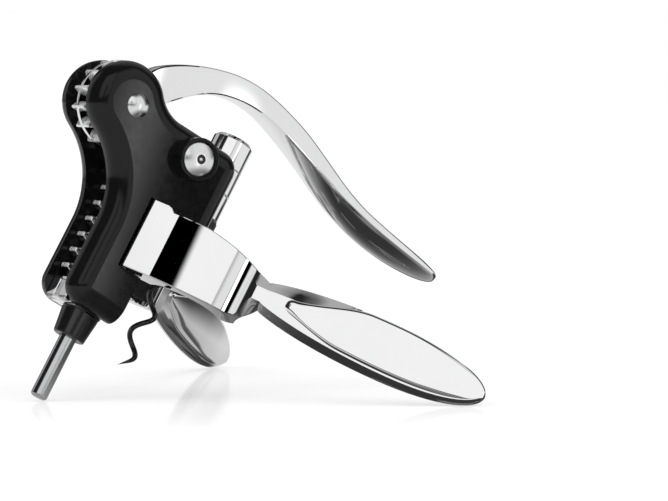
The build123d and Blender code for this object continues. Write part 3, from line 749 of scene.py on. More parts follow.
@dataclass
class Lever:
    """The chrome lever: arched arm with a paddle, and the gear at its root.

    Sizes are in millimetres in the tool's frame and repeat the CAD part's.
    """

    shop: Workshop
    teeth: ToothRow
    cut: GearCut
    length: float = 166.5
    root: float = 11.0
    neck_angle: float = 52.0
    rise: Flat = (45.0, 31.6)
    fall: Flat = (106.0, 17.6)
    tip_height: float = 10.6
    tip_angle: float = -3.0
    root_rim: float = 13.0
    neck_half: float = 4.6
    neck_rim: float = 7.8
    paddle_half: float = 10.5
    paddle_rim: float = 3.2
    belly: float = 6.2
    crown: float = 1.2
    top_swell: float = 2.0
    edge: float = 0.45
    gear_width: float = 10.4
    rib: float = 1.8
    bore: float = 3.3
    bevel: float = 0.35
    gap_end: float = 125.0
    gap_start: float = 40.0
    stations: int = 150
    tip_shape: Flat = (0.75, 1.95)
    tip_least: float = 0.03
    tip_rim: float = 0.25
    widen_span: Flat = (0.12, 0.68)
    root_span: Flat = (0.02, 0.22)
    rim_span: Flat = (0.42, 0.72)
    crown_span: Flat = (0.1, 0.6)
    belly_span: Flat = (0.38, 0.74)
    swell_in: Flat = (0.0, 0.06)
    swell_out: Flat = (0.16, 0.42)
    soft_most: Flat = (0.2, 0.3)
    hold: Flat = (1.6, 2.2)
    ring_steps: tuple[int, int] = (25, 7)
    flank_steps: int = 6
    hub_steps: int = 128

    def spine(self) -> list[tuple[Vector, Vector]]:
        """Points and directions along the arm's middle line, in the tool's XZ plane.

        Returns:
            Pairs of point and unit tangent from root to tip.
        """
        knots = [Vector(polar((0, 0), self.root, self.neck_angle)), Vector(self.rise), Vector(self.fall),
                 Vector((self.length, self.tip_height))]
        spans = [(after - before).length for before, after in zip(knots, knots[1:])]
        first = Vector(polar((0, 0), 1, self.neck_angle))
        last = Vector(polar((0, 0), 1, self.tip_angle))
        right = []
        for at in (1, 2):
            before, after = spans[at - 1], spans[at]
            right.append(3 * ((knots[at] - knots[at - 1]) * (after / before)
                              + (knots[at + 1] - knots[at]) * (before / after)))
        right[0] -= first * spans[1]
        right[1] -= last * spans[1]
        a, b = 2 * (spans[0] + spans[1]), spans[0]
        c, d = spans[2], 2 * (spans[1] + spans[2])
        det = a * d - b * c
        slopes = [first, (right[0] * d - right[1] * b) / det, (right[1] * a - right[0] * c) / det, last]
        total = sum(spans)
        line = []
        for share in spread(0, 1, self.stations):
            reach, at = share * total, 0
            while at < 2 and reach > spans[at]:
                reach -= spans[at]
                at += 1
            span = spans[at]
            t = reach / span
            point = (knots[at] * (2 * t**3 - 3 * t**2 + 1) + slopes[at] * span * (t**3 - 2 * t**2 + t)
                     + knots[at + 1] * (3 * t**2 - 2 * t**3) + slopes[at + 1] * span * (t**3 - t**2))
            way = (knots[at] * (6 * t**2 - 6 * t) + slopes[at] * span * (3 * t**2 - 4 * t + 1)
                   + knots[at + 1] * (6 * t - 6 * t**2) + slopes[at + 1] * span * (3 * t**2 - 2 * t))
            line.append((point, way.normalized()))
        return line

    def ring(self, point: Vector, way: Vector, share: float) -> Ring:
        """Cross-section of the arm at a share of its length.

        Args:
            point: Middle of the section in the XZ plane.
            way: Direction of the arm there.
            share: Share of the arm's length.

        Returns:
            Closed ring of points.
        """
        closing = max(self.tip_least, blunt(share, *self.tip_shape))
        half = lerp(self.neck_half, self.paddle_half, ease(share, *self.widen_span)) * closing
        rim = lerp(self.root_rim, self.neck_rim, ease(share, *self.root_span))
        rim += (self.paddle_rim - self.neck_rim) * ease(share, *self.rim_span)
        rim *= lerp(self.tip_rim, 1.0, closing)
        crown = self.edge + self.crown * ease(share, *self.crown_span) * closing
        belly = self.edge + self.belly * ease(share, *self.belly_span) * closing
        soft = min(self.edge, self.soft_most[0] * half, self.soft_most[1] * rim)
        top = rim / 2 + self.top_swell * ease(share, *self.swell_in) * (1 - ease(share, *self.swell_out))
        near, far = (hold * soft for hold in self.hold)
        inside = spread(-half + 3 * soft, half - 3 * soft, self.ring_steps[0])
        across = [-half + soft, -half + 2 * soft, *inside, half - 2 * soft, half - soft]
        down = [top - soft, top - near, *spread(top - far, far - rim / 2, self.ring_steps[1]),
                near - rim / 2, soft - rim / 2]
        flat = [(p, top + crown * (1 - (p / half) ** 2)) for p in across]
        flat += [(half, q) for q in down]
        flat += [(-p, -rim / 2 - belly * (1 - (p / half) ** 2)) for p in across]
        flat += [(-half, q) for q in reversed(down)]
        rising = Vector((-way[1], way[0]))
        return [(spot[0], p, spot[1]) for p, spot in ((p, point + rising * q) for p, q in flat)]

    def tooth(self) -> Piece:
        """One gear tooth at angle 0 with eased ends, around the origin.

        Returns:
            The tooth's object.
        """
        cut = self.cut
        radii = spread(cut.base_radius, cut.tip_radius, self.flank_steps)
        half = [polar((0, 0), cut.root_radius - cut.module / 4, cut.flank(cut.base_radius))]
        half += [polar((0, 0), radius, cut.flank(radius)) for radius in radii]
        crest = cut.flank(cut.tip_radius) / 2
        top = [polar((0, 0), cut.tip_radius, angle) for angle in (crest, 0.0, -crest)]
        outline = half + top + [(x, -z) for x, z in reversed(half)]
        wide = self.gear_width / 2
        return self.shop.skin("gear_tooth_form", bevelled(outline, -wide, wide, self.bevel, -1), loose=True)

    def build(self) -> None:
        """Makes the arm, the gear's body and its teeth."""
        line = self.spine()
        rings = [self.ring(point, way, at / (len(line) - 1)) for at, (point, way) in enumerate(line)]
        arm = self.shop.skin("lever_arm", rings)
        self.shop.fit(arm, Body.LEVER, CHROME, "lever")
        cut, wide, rib = self.cut, self.gear_width / 2, self.rib / 2
        upper = [(cut.tip_radius, rib), (cut.root_radius, rib), (cut.root_radius, wide), (self.bore, wide)]
        hub = soften([(x, -z) for x, z in reversed(upper)] + upper, self.bevel, closed=True)
        self.shop.lathe("lever_gear_body", (0, 0, 0), (0, 1, 0), hub, Body.LEVER, CHROME, bored=True,
                        steps=self.hub_steps)
        step = 360 / cut.teeth
        angles = [cut.phase + step * at for at in range(2 * cut.teeth)]
        kept = [angle for angle in angles if self.gap_end <= angle <= 360 + self.gap_start]
        self.teeth.row("lever_gear_teeth", self.tooth(), len(kept), Body.LEVER, STEEL,
                       first=-radians(kept[0]), step=-radians(step))


@dataclass
class Carriage:
    """What slides with the worm: rack, barrel with its cap, collar and slide rod, in millimetres."""

    shop: Workshop
    teeth: ToothRow
    cut: GearCut
    rack_half: float = 8.7
    groove: float = 5.0
    web: float = 7.0
    bottom: float = -80.0
    bridge: Flat = (1.3, 3.8)
    bridge_half: float = 5.0
    end_block: float = 9.6
    window: Flat = (6.5, 2.5)
    shoe_half: float = 8.3
    shoe_height: float = 7.0
    worm_axis: float = 53.7
    barrel_radius: float = 8.6
    barrel_bore: float = 5.4
    barrel_bottom: float = -20.6
    ring_drop: float = 11.2
    ring_depth: float = 0.5
    cap_height: float = 12.7
    cap_chamfer: float = 1.6
    cap_wall: float = 1.7
    rod_axis: float = 26.8
    rod_radius: float = 3.5
    rod_reach: float = 118.2
    rod_chamfer: float = 0.8
    collar_radius: float = 8.0
    collar_length: float = 11.3
    collar_taper: float = 1.4
    bevel: float = 0.3
    crest_lap: float = 0.25
    ring_soft: float = 0.2
    rod_seat: float = 4.0
    rod_play: float = 0.05

    def brick(self, low: Spot, high: Spot) -> list[Ring]:
        """Rings of a block with eased edges.

        Args:
            low: Lowest corner.
            high: Highest corner.

        Returns:
            Rings from the lowest to the highest height.
        """
        cut, rings = self.bevel, []
        for inset, z in ((cut, low[2]), (0, low[2] + cut), (0, high[2] - cut), (cut, high[2])):
            x0, x1, y0, y1 = low[0] + inset, high[0] - inset, low[1] + inset, high[1] - inset
            rings.append([(x0 + cut, y0, z), (x1 - cut, y0, z), (x1, y0 + cut, z), (x1, y1 - cut, z),
                          (x1 - cut, y1, z), (x0 + cut, y1, z), (x0, y1 - cut, z), (x0, y0 + cut, z)])
        return rings

    def tooth(self, height: float) -> Piece:
        """One rack tooth, split by the groove, around the origin.

        Args:
            height: Height of the tooth's middle on the rack.

        Returns:
            The tooth's object.
        """
        cut, bevel = self.cut, self.bevel
        crest, root, half = cut.rack_crest, cut.rack_root, cut.crest_half
        upper = [(crest, half - bevel), (crest + bevel, half + bevel * cut.rack_slope),
                 (root, half + (root - crest) * cut.rack_slope)]
        outline = [(x, -z) for x, z in reversed(upper)] + upper
        rings = bevelled(outline, self.groove / 2, self.rack_half, bevel, 1)
        halves = [[[(x, side.value * y, height + z) for x, y, z in ring] for ring in rings] for side in Side]
        return self.shop.skin("rack_tooth_form", *halves, loose=True)

    def crest(self, height: float) -> Piece:
        """The two worn, bright strips on the crest of one rack tooth, around the origin.

        Args:
            height: Height of the tooth's middle on the rack.

        Returns:
            The strips' object.
        """
        lap, face = self.crest_lap, self.cut.rack_crest
        half = self.cut.crest_half + lap
        strips = []
        for side in Side:
            ends = (self.groove / 2 + self.bevel, self.rack_half - self.bevel)
            near, far = sorted(side.value * end for end in ends)
            strips.append(self.brick((face - lap / 4, near, height - half),
                                     (face + 2 * self.bevel, far, height + half)))
        return self.shop.skin("rack_crest_form", *strips, loose=True)

    def build_rack(self) -> None:
        """Makes the toothed bar with its end block, shoe and bridge."""
        cut, half, slot, base = self.cut, self.rack_half, self.groove / 2, self.bottom
        crest, root = cut.rack_crest, cut.rack_root
        shelf, back = crest + self.window[1], root + self.web
        seam, block_top = shelf + self.bevel, base + self.end_block
        rail = (self.end_block - self.window[0]) / 2
        low, high = self.bridge
        blocks = (
            ((root, -half, base), (back, half, high)),
            ((shelf, -half, base), (root + self.bevel, half, block_top)),
            ((crest, -half, base), (seam, half, base + rail)),
            ((crest, -half, block_top - rail), (seam, half, block_top)),
            ((crest, -half, base), (seam, -slot, block_top)),
            ((crest, slot, base), (seam, half, block_top)),
            ((back - self.bevel, -self.bridge_half, low), (self.worm_axis, self.bridge_half, high)),
        )
        rack = self.shop.skin("rack_bar", *(self.brick(*block) for block in blocks))
        self.shop.fit(rack, Body.CARRIAGE, CHROME, "rack")
        wide, tall = self.shoe_half, self.shoe_height
        shoe = soften([(0, 0), (wide, 0), (wide, tall), (0, tall)], self.bevel)
        foot = (self.rod_axis, 0, base)
        self.shop.lathe("rack_shoe", foot, UPWARD, shoe, Body.CARRIAGE, SATIN_BLACK)
        space = cut.pitch_radius * radians(cut.phase)
        below = int((space - block_top) / cut.rack_pitch)
        middles = [space + (at - 0.5) * cut.rack_pitch for at in range(-below + 1, 2)]
        kept = [middle for middle in middles if middle < high - cut.rack_pitch / 4]
        offset = self.shop.tool.up * (cut.rack_pitch * MM)
        for name, form, finish in (("rack_teeth", self.tooth(kept[0]), CHROME),
                                   ("rack_crests", self.crest(kept[0]), STEEL)):
            self.teeth.row(name, form, len(kept), Body.CARRIAGE, finish, offset=offset)

    def build_barrel(self) -> None:
        """Makes the chrome barrel with its ring groove, and the cap over it."""
        r, bore, deep = self.barrel_radius, self.barrel_bore, self.ring_depth
        foot = (self.worm_axis, 0, 0)
        base, top = self.barrel_bottom, self.bridge[0]
        ring = top - self.ring_drop
        tube = soften([(bore, base), (r, base), (r, ring), (r - deep, ring), (r - deep, ring + deep),
                       (r, ring + deep), (r, top), (bore, top)], self.ring_soft, closed=True)
        self.shop.lathe("worm_barrel", foot, UPWARD, tube, Body.CARRIAGE, CHROME, "barrel", bored=True)
        height, cut, wall = self.cap_height, self.cap_chamfer, self.cap_wall
        inner = r - wall
        cap = soften([(inner, top), (r - deep / 2, top), (r, top + deep / 2), (r, top + height - cut),
                      (r - cut, top + height), (0, top + height)], self.ring_soft)
        cap += [(0, top + height - cut - wall), (inner, top + height - cut - wall), (inner, top)]
        self.shop.lathe("barrel_top", foot, UPWARD, cap, Body.CARRIAGE, CHROME, "barrel_cap")

    def build_rod(self) -> None:
        """Makes the slide rod and its tapered collar."""
        foot = (self.rod_axis, 0, 0)
        r, cut = self.rod_radius, self.rod_chamfer
        rod = soften([(0, -self.rod_reach), (r - cut, -self.rod_reach), (r, cut - self.rod_reach),
                      (r, self.bottom + self.rod_seat), (0, self.bottom + self.rod_seat)], self.bevel)
        self.shop.lathe("slide_rod_bar", foot, UPWARD, rod, Body.CARRIAGE, ROD_STEEL, "slide_rod",
                        steps=SMALL_ROUND)
        wide, low = self.collar_radius, self.bottom - self.collar_length
        mouth = r + self.rod_play
        collar = soften([(mouth, low), (wide - self.collar_taper, low), (wide, self.bottom),
                         (mouth, self.bottom)], self.collar_taper / 2, closed=True)
        self.shop.lathe("rod_collar_sleeve", foot, UPWARD, collar, Body.CARRIAGE, HALF_GLOSS_BLACK,
                        "rod_collar", bored=True, steps=SMALL_ROUND)

    def build(self) -> None:
        """Makes every piece of the carriage."""
        self.build_rack()
        self.build_barrel()
        self.build_rod()


@dataclass
class Worm:
    """The coated helical wire with its hub, in millimetres."""

    shop: Workshop
    axis: float = 53.7
    pitch: float = 18.0
    coil: float = 3.1
    wire: float = 2.2
    reach: float = 91.4
    start_turn: float = -122.0
    point: float = 3.0
    taper: float = 0.09
    least: float = 0.06
    hub_radius: float = 4.3
    hub: Flat = (-11.8, 1.2)
    shank_radius: float = 3.0
    shank_top: float = 8.1
    hub_soft: float = 0.3
    resolution: int = 40
    facets: int = 24

    def build(self) -> None:
        """Makes the wire and the hub that it grows from."""
        climb = atan2(self.pitch, 2 * pi * self.coil)
        anchor = -self.reach + self.point * sin(climb)
        low = -self.reach + self.wire / 4
        high = self.hub[0] + (self.hub[1] - self.hub[0]) / 3
        wire = WireTree(self.least).piece(
            "worm_wire", Turns=(high - low) / self.pitch, Coil=self.coil * MM, Height=(high - low) * MM,
            Wire=self.wire / 2 * MM, Taper=self.taper, Resolution=self.resolution, Facets=self.facets,
            Finish=WIRE_COATING.material(),
        )
        turn = radians(self.start_turn + (low - anchor) / self.pitch * 360)
        seat = Matrix.Translation((self.axis * MM, 0, low * MM)) @ Matrix.Rotation(turn, 4, "Z")
        wire.data.transform(self.shop.tool.matrix() @ seat)
        self.shop.fit(wire, Body.WORM, WIRE_COATING, "worm")
        hub = soften([(0, self.hub[0]), (self.hub_radius, self.hub[0]), (self.hub_radius, self.hub[1]),
                      (self.shank_radius, self.hub[1]), (self.shank_radius, self.shank_top),
                      (0, self.shank_top)], self.hub_soft)
        self.shop.lathe("worm_hub", (self.axis, 0, 0), UPWARD, hub, Body.WORM, STEEL, steps=SMALL_ROUND)


@dataclass
class CheekBolts:
    """The domed bolts in the cheeks and the CAD pieces that keep their shape, in millimetres."""

    shop: Workshop
    cheek_outer: float = 18.0
    boss_face: float = 24.5
    boss_recess: float = 1.6
    pivot_head: float = 4.75
    pivot_dome: float = 1.9
    pivot_seat: float = 0.6
    pivot_shank: float = 3.2
    guide: Flat = (31.86, -6.5)
    guide_head: float = 7.15
    guide_dome: float = 1.8
    guide_shank: float = 3.0
    eye: float = 1.8
    eye_pin: float = 0.7
    eye_depth: float = 1.1
    lip: float = 0.3
    dome_steps: int = 24
    eye_steps: int = 48

    def dome(self, radius: float, seat: float, rim: float, rise: float, eye: float) -> list[Flat]:
        """Outline of a domed head from its seat to its middle.

        Args:
            radius: Radius of the head.
            seat: Height of its flat underside.
            rim: Height where its dome starts.
            rise: Height of the dome over the rim.
            eye: Radius of a hole in its middle, or 0.

        Returns:
            Radius and height along the outline.
        """
        ball = (radius**2 + rise**2) / (2 * rise)
        centre = rim + rise - ball
        lowest = atan2(radius, rim - centre)
        highest = 0.0 if eye == 0 else atan2(eye + self.lip, sqrt(ball**2 - (eye + self.lip) ** 2))
        crown = [(ball * sin(angle), centre + ball * cos(angle))
                 for angle in spread(lowest, highest, self.dome_steps)]
        outline = [(0.0, seat), (radius, seat), *crown]
        if eye:
            top = crown[-1][1]
            pin, floor = self.eye_pin, top - self.eye_depth
            outline += [(eye + self.lip / 3, top - self.lip / 4), (eye, top - self.lip), (eye, floor),
                        (pin, floor), (pin, top - self.lip), (pin / 2, top - self.lip / 3),
                        (0.0, top - self.lip / 6)]
        return outline

    def build(self) -> None:
        """Makes both bolts with their caps and dresses the rest of the frame."""
        shop, lip = self.shop, self.lip
        near, far = (0, -1, 0), (0, 1, 0)
        seat = self.cheek_outer - self.pivot_seat
        head = self.dome(self.pivot_head, seat, self.cheek_outer, self.pivot_dome, 0)
        shank = [(0, -seat), (self.pivot_shank, -seat), (self.pivot_shank, seat)]
        pivot, place = (0, 0, 0), (self.guide[0], 0, self.guide[1])
        sunk = self.boss_face - self.boss_recess
        rim = self.boss_face - self.boss_recess / 2
        stem = [(0, -sunk), (self.guide_shank, -sunk), (self.guide_shank, sunk)]
        eyed, plain = (self.dome(self.guide_head, sunk, rim, self.guide_dome, eye) for eye in (self.eye, 0))
        for name, foot, way, outline, node in (
            ("pivot_bolt_near", pivot, near, shank + head[1:], "pivot_bolt"),
            ("pivot_bolt_far", pivot, far, head, "pivot_cap"),
            ("guide_bolt_near", place, near, stem + eyed[1:], "guide_bolt"),
            ("guide_bolt_far", place, far, plain, "guide_cap"),
        ):
            shop.lathe(name, foot, way, outline, Body.FRAME, SATIN_CHROME, node)
        # Painted shade: a black ring at the bottom of the eye's recess darkens the hole where its own shade
        # falls.
        top, inner, outer = eyed[-1][1] - 2 * lip, self.eye_pin - lip / 4, self.eye + lip / 4
        ring = [(inner, top - lip), (outer, top - lip), (outer, top), (inner, top)]
        ring = soften(ring, lip / 3, closed=True)
        shop.lathe("guide_bolt_eye", place, near, ring, Body.FRAME, SATIN_BLACK, bored=True,
                   steps=self.eye_steps)
        shop.dress(GLOSS_BLACK, "left_cheek", "right_cheek")
        shop.dress(SATIN_BLACK, "pivot_washers", "guide_bush", "nut_holder", "nut_plate", "drive_nut")
        shop.dress(STEEL, "nut_screws", "worm_head", "left_hinge_pin", "right_hinge_pin")
        shop.dress(SOFT_GRIP, "left_jaw_pad", "right_jaw_pad")


@dataclass
class Jaw:
    """One jaw with its handle, drawn along its own direction from the hinge, in millimetres."""

    shop: Workshop
    side: Side
    hinge: Flat = (28.3, 13.4)
    open_turn: float = JAW_TURN
    top: float = -28.9
    bottom: float = -58.7
    knuckle: float = 4.4
    bottle: Flat = (25.4, -13.4)
    bore: float = 15.6
    split: float = 0.4
    outside: float = 9.4
    heel: Flat = (0.68, 7.8)
    wall_start: float = 12.4
    nose: float = 47.6
    throat: Flat = (50.3, -7.2)
    swell: float = 7.5
    bore_end: float = 150.0
    step: float = 2.1
    step_at: float = 8.0
    crest: float = 2.9
    shoulder: float = 44.0
    scoop: float = 0.62
    neck: float = 56.0
    neck_half: float = 6.0
    neck_thick: float = 4.7
    handle_length: float = 152.4
    widest: float = 108.0
    half_height: float = 11.8
    drop: float = 1.6
    rim: float = 0.7
    leaf_thick: float = 4.2
    face_top: float = 2.3
    stem_bevel_low: float = 2.8
    leaf_bevel_top: float = 0.8
    leaf_bevel_low: float = 1.7
    groove_start: float = 37.0
    groove: float = 48.3
    groove_end: float = 52.4
    groove_depth: float = 4.0
    pad_start: float = 66.0
    pad_full: float = 92.0
    pad_fade: float = 128.0
    pad_rise: float = 1.0
    pad_crown: float = 0.3
    pad_edge: float = 1.6
    pad_nose_edge: float = 3.4
    pad_nose_low: float = 0.6
    pad_nose: float = 3.0
    pad_low: Flat = (0.45, 0.035)
    edge: float = 0.4
    tip_start: float = 112.0
    tip_thick: float = 2.5
    tip_round: float = 2.6
    tip_length: float = 6.0
    crease: float = radians(28)
    leaf_power: float = 0.75
    tip_power: float = 2.2
    leaf_least: float = 0.12
    leaf_span: Flat = (60.0, 78.0)
    top_span: Flat = (60.0, 100.0)
    nose_span: Flat = (66.0, 76.0)
    low_span: Flat = (70.0, 92.0)
    rim_most: float = 0.6
    bevel_most: Spot = (0.45, 0.65, 0.5)
    knuckle_out: Flat = (176.0, 110.0)
    knuckle_in: Flat = (184.0, 300.0)
    rear_share: float = 0.3
    bore_turns: Spot = (149.0, 92.0, 90.0)
    bore_lap: float = 0.6
    body_ribs: tuple[int, ...] = (10, 8, 12, 14)
    bow_ribs: tuple[int, ...] = (36, 30, 13, 8)
    leaf_ribs: tuple[int, ...] = (22, 14, 70, 50, 26)
    leaf_gaps: Flat = (0.4, 0.6)
    face_steps: tuple[int, int] = (9, 41)
    slope_at: Spot = (0.12, 0.5, 0.88)
    ledge_at: tuple[float, ...] = (0.06, 0.2, 0.5, 0.8, 0.94)

    @property
    def handle_z(self) -> float:
        """Height of the handle's middle line."""
        return (self.top + self.bottom) / 2 - self.drop

    def leaf(self, reach: float) -> float:
        """Half height of the handle.

        Args:
            reach: Distance from the hinge.

        Returns:
            Half of the height there.
        """
        if reach < self.widest:
            share = max(0.0, (reach - self.neck) / (self.widest - self.neck)) ** self.leaf_power
            return self.neck_half + (self.half_height - self.neck_half) * sin(pi / 2 * share)
        length = self.handle_length
        return self.half_height * blunt(reach / length, self.widest / length, self.tip_power)

    def heights(self, reach: float) -> Flat:
        """Lowest and highest point of the jaw's side outline.

        Args:
            reach: Distance from the hinge.

        Returns:
            Both heights in the tool's frame.
        """
        upper, lower = self.handle_z + self.neck_half, self.handle_z - self.neck_half
        if reach >= self.neck:
            half = self.leaf(reach)
            return (self.handle_z - half, self.handle_z + half)
        ledge = self.top - self.step
        if reach <= self.bottle[0]:
            high = self.top - self.step * min(1.0, max(0.0, (reach - self.step_at) / self.step))
        else:
            crest = ((self.bottle[0] + self.neck) / 2, ledge - self.crest)
            high = self._on_arc((self.bottle[0], ledge), crest, (self.neck, upper), reach)
        low = self.bottom
        if reach > self.shoulder:
            scoop = (lerp(self.shoulder, self.neck, self.scoop), lerp(lower, self.bottom, self.scoop))
            low = self._on_arc((self.shoulder, self.bottom), scoop, (self.neck, lower), reach)
        return (low, high)

    @staticmethod
    def _on_arc(start: Flat, middle: Flat, end: Flat, reach: float) -> float:
        """Height of an arc that runs forward along the first axis.

        Args:
            start: First point of the arc.
            middle: A point that it passes.
            end: Last point of the arc.
            reach: Place along the first axis.

        Returns:
            Value on the second axis.
        """
        points = arc_through(start, middle, end, ARC_STEPS)
        for before, after in zip(points, points[1:]):
            if reach <= after[0]:
                return lerp(before[1], after[1], (reach - before[0]) / (after[0] - before[0]))
        return end[1]

    def line(self, start: Flat, end: Flat, count: int) -> list[Flat]:
        """Points of a straight stretch, closer together at its ends.

        Args:
            start: Where it starts.
            end: Where it ends.
            count: Number of points, both ends left out.

        Returns:
            The points in order.
        """
        length = hypot(end[0] - start[0], end[1] - start[1])
        near = min(CORNER_SHARE, self.edge / max(self.edge, length))
        shares = [near / 2, near, *spread(2 * near, 1 - 2 * near, count - 4), 1 - near, 1 - near / 2]
        return [(lerp(start[0], end[0], share), lerp(start[1], end[1], share)) for share in shares]

    def ribs(self) -> list[tuple[Flat, Flat]]:
        """Pairs of outer and inner points along the jaw, seen from above.

        Returns:
            The pairs from the knuckle to the neck.
        """
        hub = (0.0, 0.0)
        opening = degrees(atan2(self.split, self.bore))
        front, rear = (polar(self.bottle, self.bore, angle) for angle in (opening, self.bore_end))
        high, low = (polar(hub, self.knuckle, ends[1]) for ends in (self.knuckle_out, self.knuckle_in))
        wall, side = (self.wall_start, self.outside), (self.bottle[0], self.outside)
        waist = (lerp(low[0], rear[0], self.rear_share), lerp(low[1], rear[1], self.rear_share))
        nose = (self.nose, front[1])
        knuckle, heel, flank, flat = self.body_ribs
        bow, fall, *rest = self.bow_ribs
        throat = arc_through(nose, self.throat, (self.neck, -self.neck_thick), sum(rest) + 1)

        def turn(centre: Flat, radius: float, first: float, last: float, count: int) -> list[Flat]:
            """Points of an arc between two angles."""
            return [polar(centre, radius, angle) for angle in spread(first, last, count)]

        outer = turn(hub, self.knuckle, *self.knuckle_out, knuckle) + self.line(high, self.heel, heel)
        outer += self.line(self.heel, wall, flank) + self.line(wall, side, flat)
        outer += [(reach, self.front(reach)) for reach in self.stations()]
        inner = turn(hub, self.knuckle, *self.knuckle_in, knuckle) + self.line(low, waist, heel)
        inner += self.line(waist, rear, flank) + turn(self.bottle, self.bore, *self.bore_turns[:2], flat)
        inner += turn(self.bottle, self.bore, self.bore_turns[2], opening + self.bore_lap, bow)
        inner += self.line(front, nose, fall) + throat[1:]
        return list(zip(outer, inner))

    def stations(self) -> list[float]:
        """Places of the ribs along the curved wall, its fall, the groove and the stem.

        Returns:
            Distances from the hinge.
        """
        wall, fall, ramp, stem = self.bow_ribs
        reaches = spread(self.bottle[0], self.groove_start, wall + 2)[1:-1]
        reaches += spread(self.groove_start, self.groove, fall)
        reaches += spread(self.groove, self.groove_end, ramp + 1)[1:]
        return reaches + spread(self.groove_end, self.neck, stem + 1)[1:]

    def section(self, outer: Flat, inner: Flat) -> Ring:
        """Ring of one rib of the jaw, crisp up to the groove and bevelled like the stem behind it.

        Args:
            outer: Outer point of the rib, seen from above.
            inner: Inner point of the rib.

        Returns:
            The ring in the tool's frame.
        """
        blend = ease(outer[0], self.groove, self.groove_end)
        wide = hypot(outer[0] - inner[0], outer[1] - inner[1])
        deep = min(self.bevel_most[0] * wide, lerp(self.edge, wide / 2 - self.rim, blend))
        face_top = self.handle_z + self.face_top
        face_low = self.handle_z - self.neck_half + self.stem_bevel_low
        spots = []
        for share, height in self._outline(wide, deep, self.pad_low[0]):
            u, w = lerp(outer[0], inner[0], share), lerp(outer[1], inner[1], share)
            low, high = self.heights(u)
            bevels = (lerp(self.edge, way, blend) for way in (high - face_top, face_low - low))
            spots.append(self.spot(u, w, self._level(low, high, height, *bevels)))
        return spots

    def front(self, u: float) -> float:
        """How far out the jaw's front lies, with the groove before the handle.

        Args:
            u: Distance from the hinge.

        Returns:
            Distance out from the hinge's line.
        """
        middle = ((self.bottle[0] + self.neck) / 2, self.swell)
        bow = (self.bottle[0], self.outside), middle, (self.neck, self.neck_thick)
        wall = self._on_arc(*bow, min(u, self.groove))
        fall = min(1.0, max(0.0, (u - self.groove_start) / (self.groove - self.groove_start)))
        valley = wall - self.groove_depth * fall**2
        ramp = min(1.0, max(0.0, (u - self.groove) / (self.groove_end - self.groove)))
        return lerp(valley, self.neck_thick, ramp)

    @staticmethod
    def _level(low: float, high: float, height: Height, bevel_top: float, bevel_low: float) -> float:
        """Height for a place on the outline.

        Args:
            low: Lowest point of the block.
            high: Highest point of the block.
            height: Kind and value of the height.
            bevel_top: Height of the upper bevel.
            bevel_low: Height of the lower bevel.

        Returns:
            The height in millimetres.
        """
        kind, value = height
        if kind == "face":
            return lerp(low + bevel_low, high - bevel_top, value)
        if kind == "top":
            return high - bevel_top * (1 - value)
        return low + bevel_low * (1 - value)

    def _outline(self, wide: float, deep: float, split: float) -> list[tuple[float, Height]]:
        """Places round a bevelled block, as shares of its width and named heights.

        Args:
            wide: Width of the block.
            deep: Depth of both bevels.
            split: Share of the faces that lies below the handle's pad.

        Returns:
            Share of the width from the outer face and the height's kind and value.
        """
        d, slope, ledge = deep / wide, self.slope_at, self.ledge_at
        below, above = self.face_steps
        face = spread(0, split, below)[:-1]
        face += [lerp(split, 1, 0.5 - 0.5 * cos(pi * step)) for step in spread(0, 1, above)]
        places = [(0.0, ("face", value)) for value in face]
        places += [(d * s, ("top", s)) for s in slope]
        places += [(lerp(d, 1 - d, s), ("top", 1.0)) for s in ledge]
        places += [(1 - d * s, ("top", s)) for s in reversed(slope)]
        places += [(1.0, ("face", value)) for value in reversed(face)]
        places += [(1 - d * s, ("low", s)) for s in slope]
        places += [(lerp(1 - d, d, s), ("low", 1.0)) for s in ledge]
        places += [(d * s, ("low", s)) for s in reversed(slope)]
        return places

    def handle_section(self, reach: float) -> Ring:
        """Ring of the handle at a distance from the hinge, with its dished faces.

        Args:
            reach: Distance from the hinge.

        Returns:
            The ring in the tool's frame.
        """
        half = max(self.leaf_least, self.leaf(reach))
        thin = sqrt(1 - (1 - min(1.0, half / self.tip_round)) ** 2)
        thick = lerp(self.neck_thick, self.leaf_thick, ease(reach, *self.leaf_span))
        thick = lerp(thick, self.tip_thick, ease(reach, self.tip_start, self.handle_length)) * thin
        rim = min(self.rim, self.rim_most * thick)
        bevel_top = lerp(half - self.face_top, self.leaf_bevel_top, ease(reach, *self.top_span))
        slim = ease(reach, self.pad_start, self.handle_length)
        bevel_low = lerp(self.stem_bevel_low, self.leaf_bevel_low, slim)
        bevel_top = min(self.bevel_most[1] * half, bevel_top)
        bevel_low = min(self.bevel_most[2] * half, bevel_low)
        low, high = self.handle_z - half, self.handle_z + half
        share_low = min(1.0, max(0.0, (reach - self.pad_start) / (self.pad_full - self.pad_start)))
        split = lerp(*self.pad_low, sin(pi / 2 * share_low))
        spots = []
        for share, height in self._outline(2 * thick, thick - rim, split):
            z = self._level(low, high, height, bevel_top, bevel_low)
            w = thick * (1 - 2 * share)
            if height[0] == "face":
                tall = high - low - bevel_top - bevel_low
                w += self.pad(reach, height[1], split, tall) * (1 if share < 0.5 else -1)
            spots.append(self.spot(reach, w, z))
        return spots

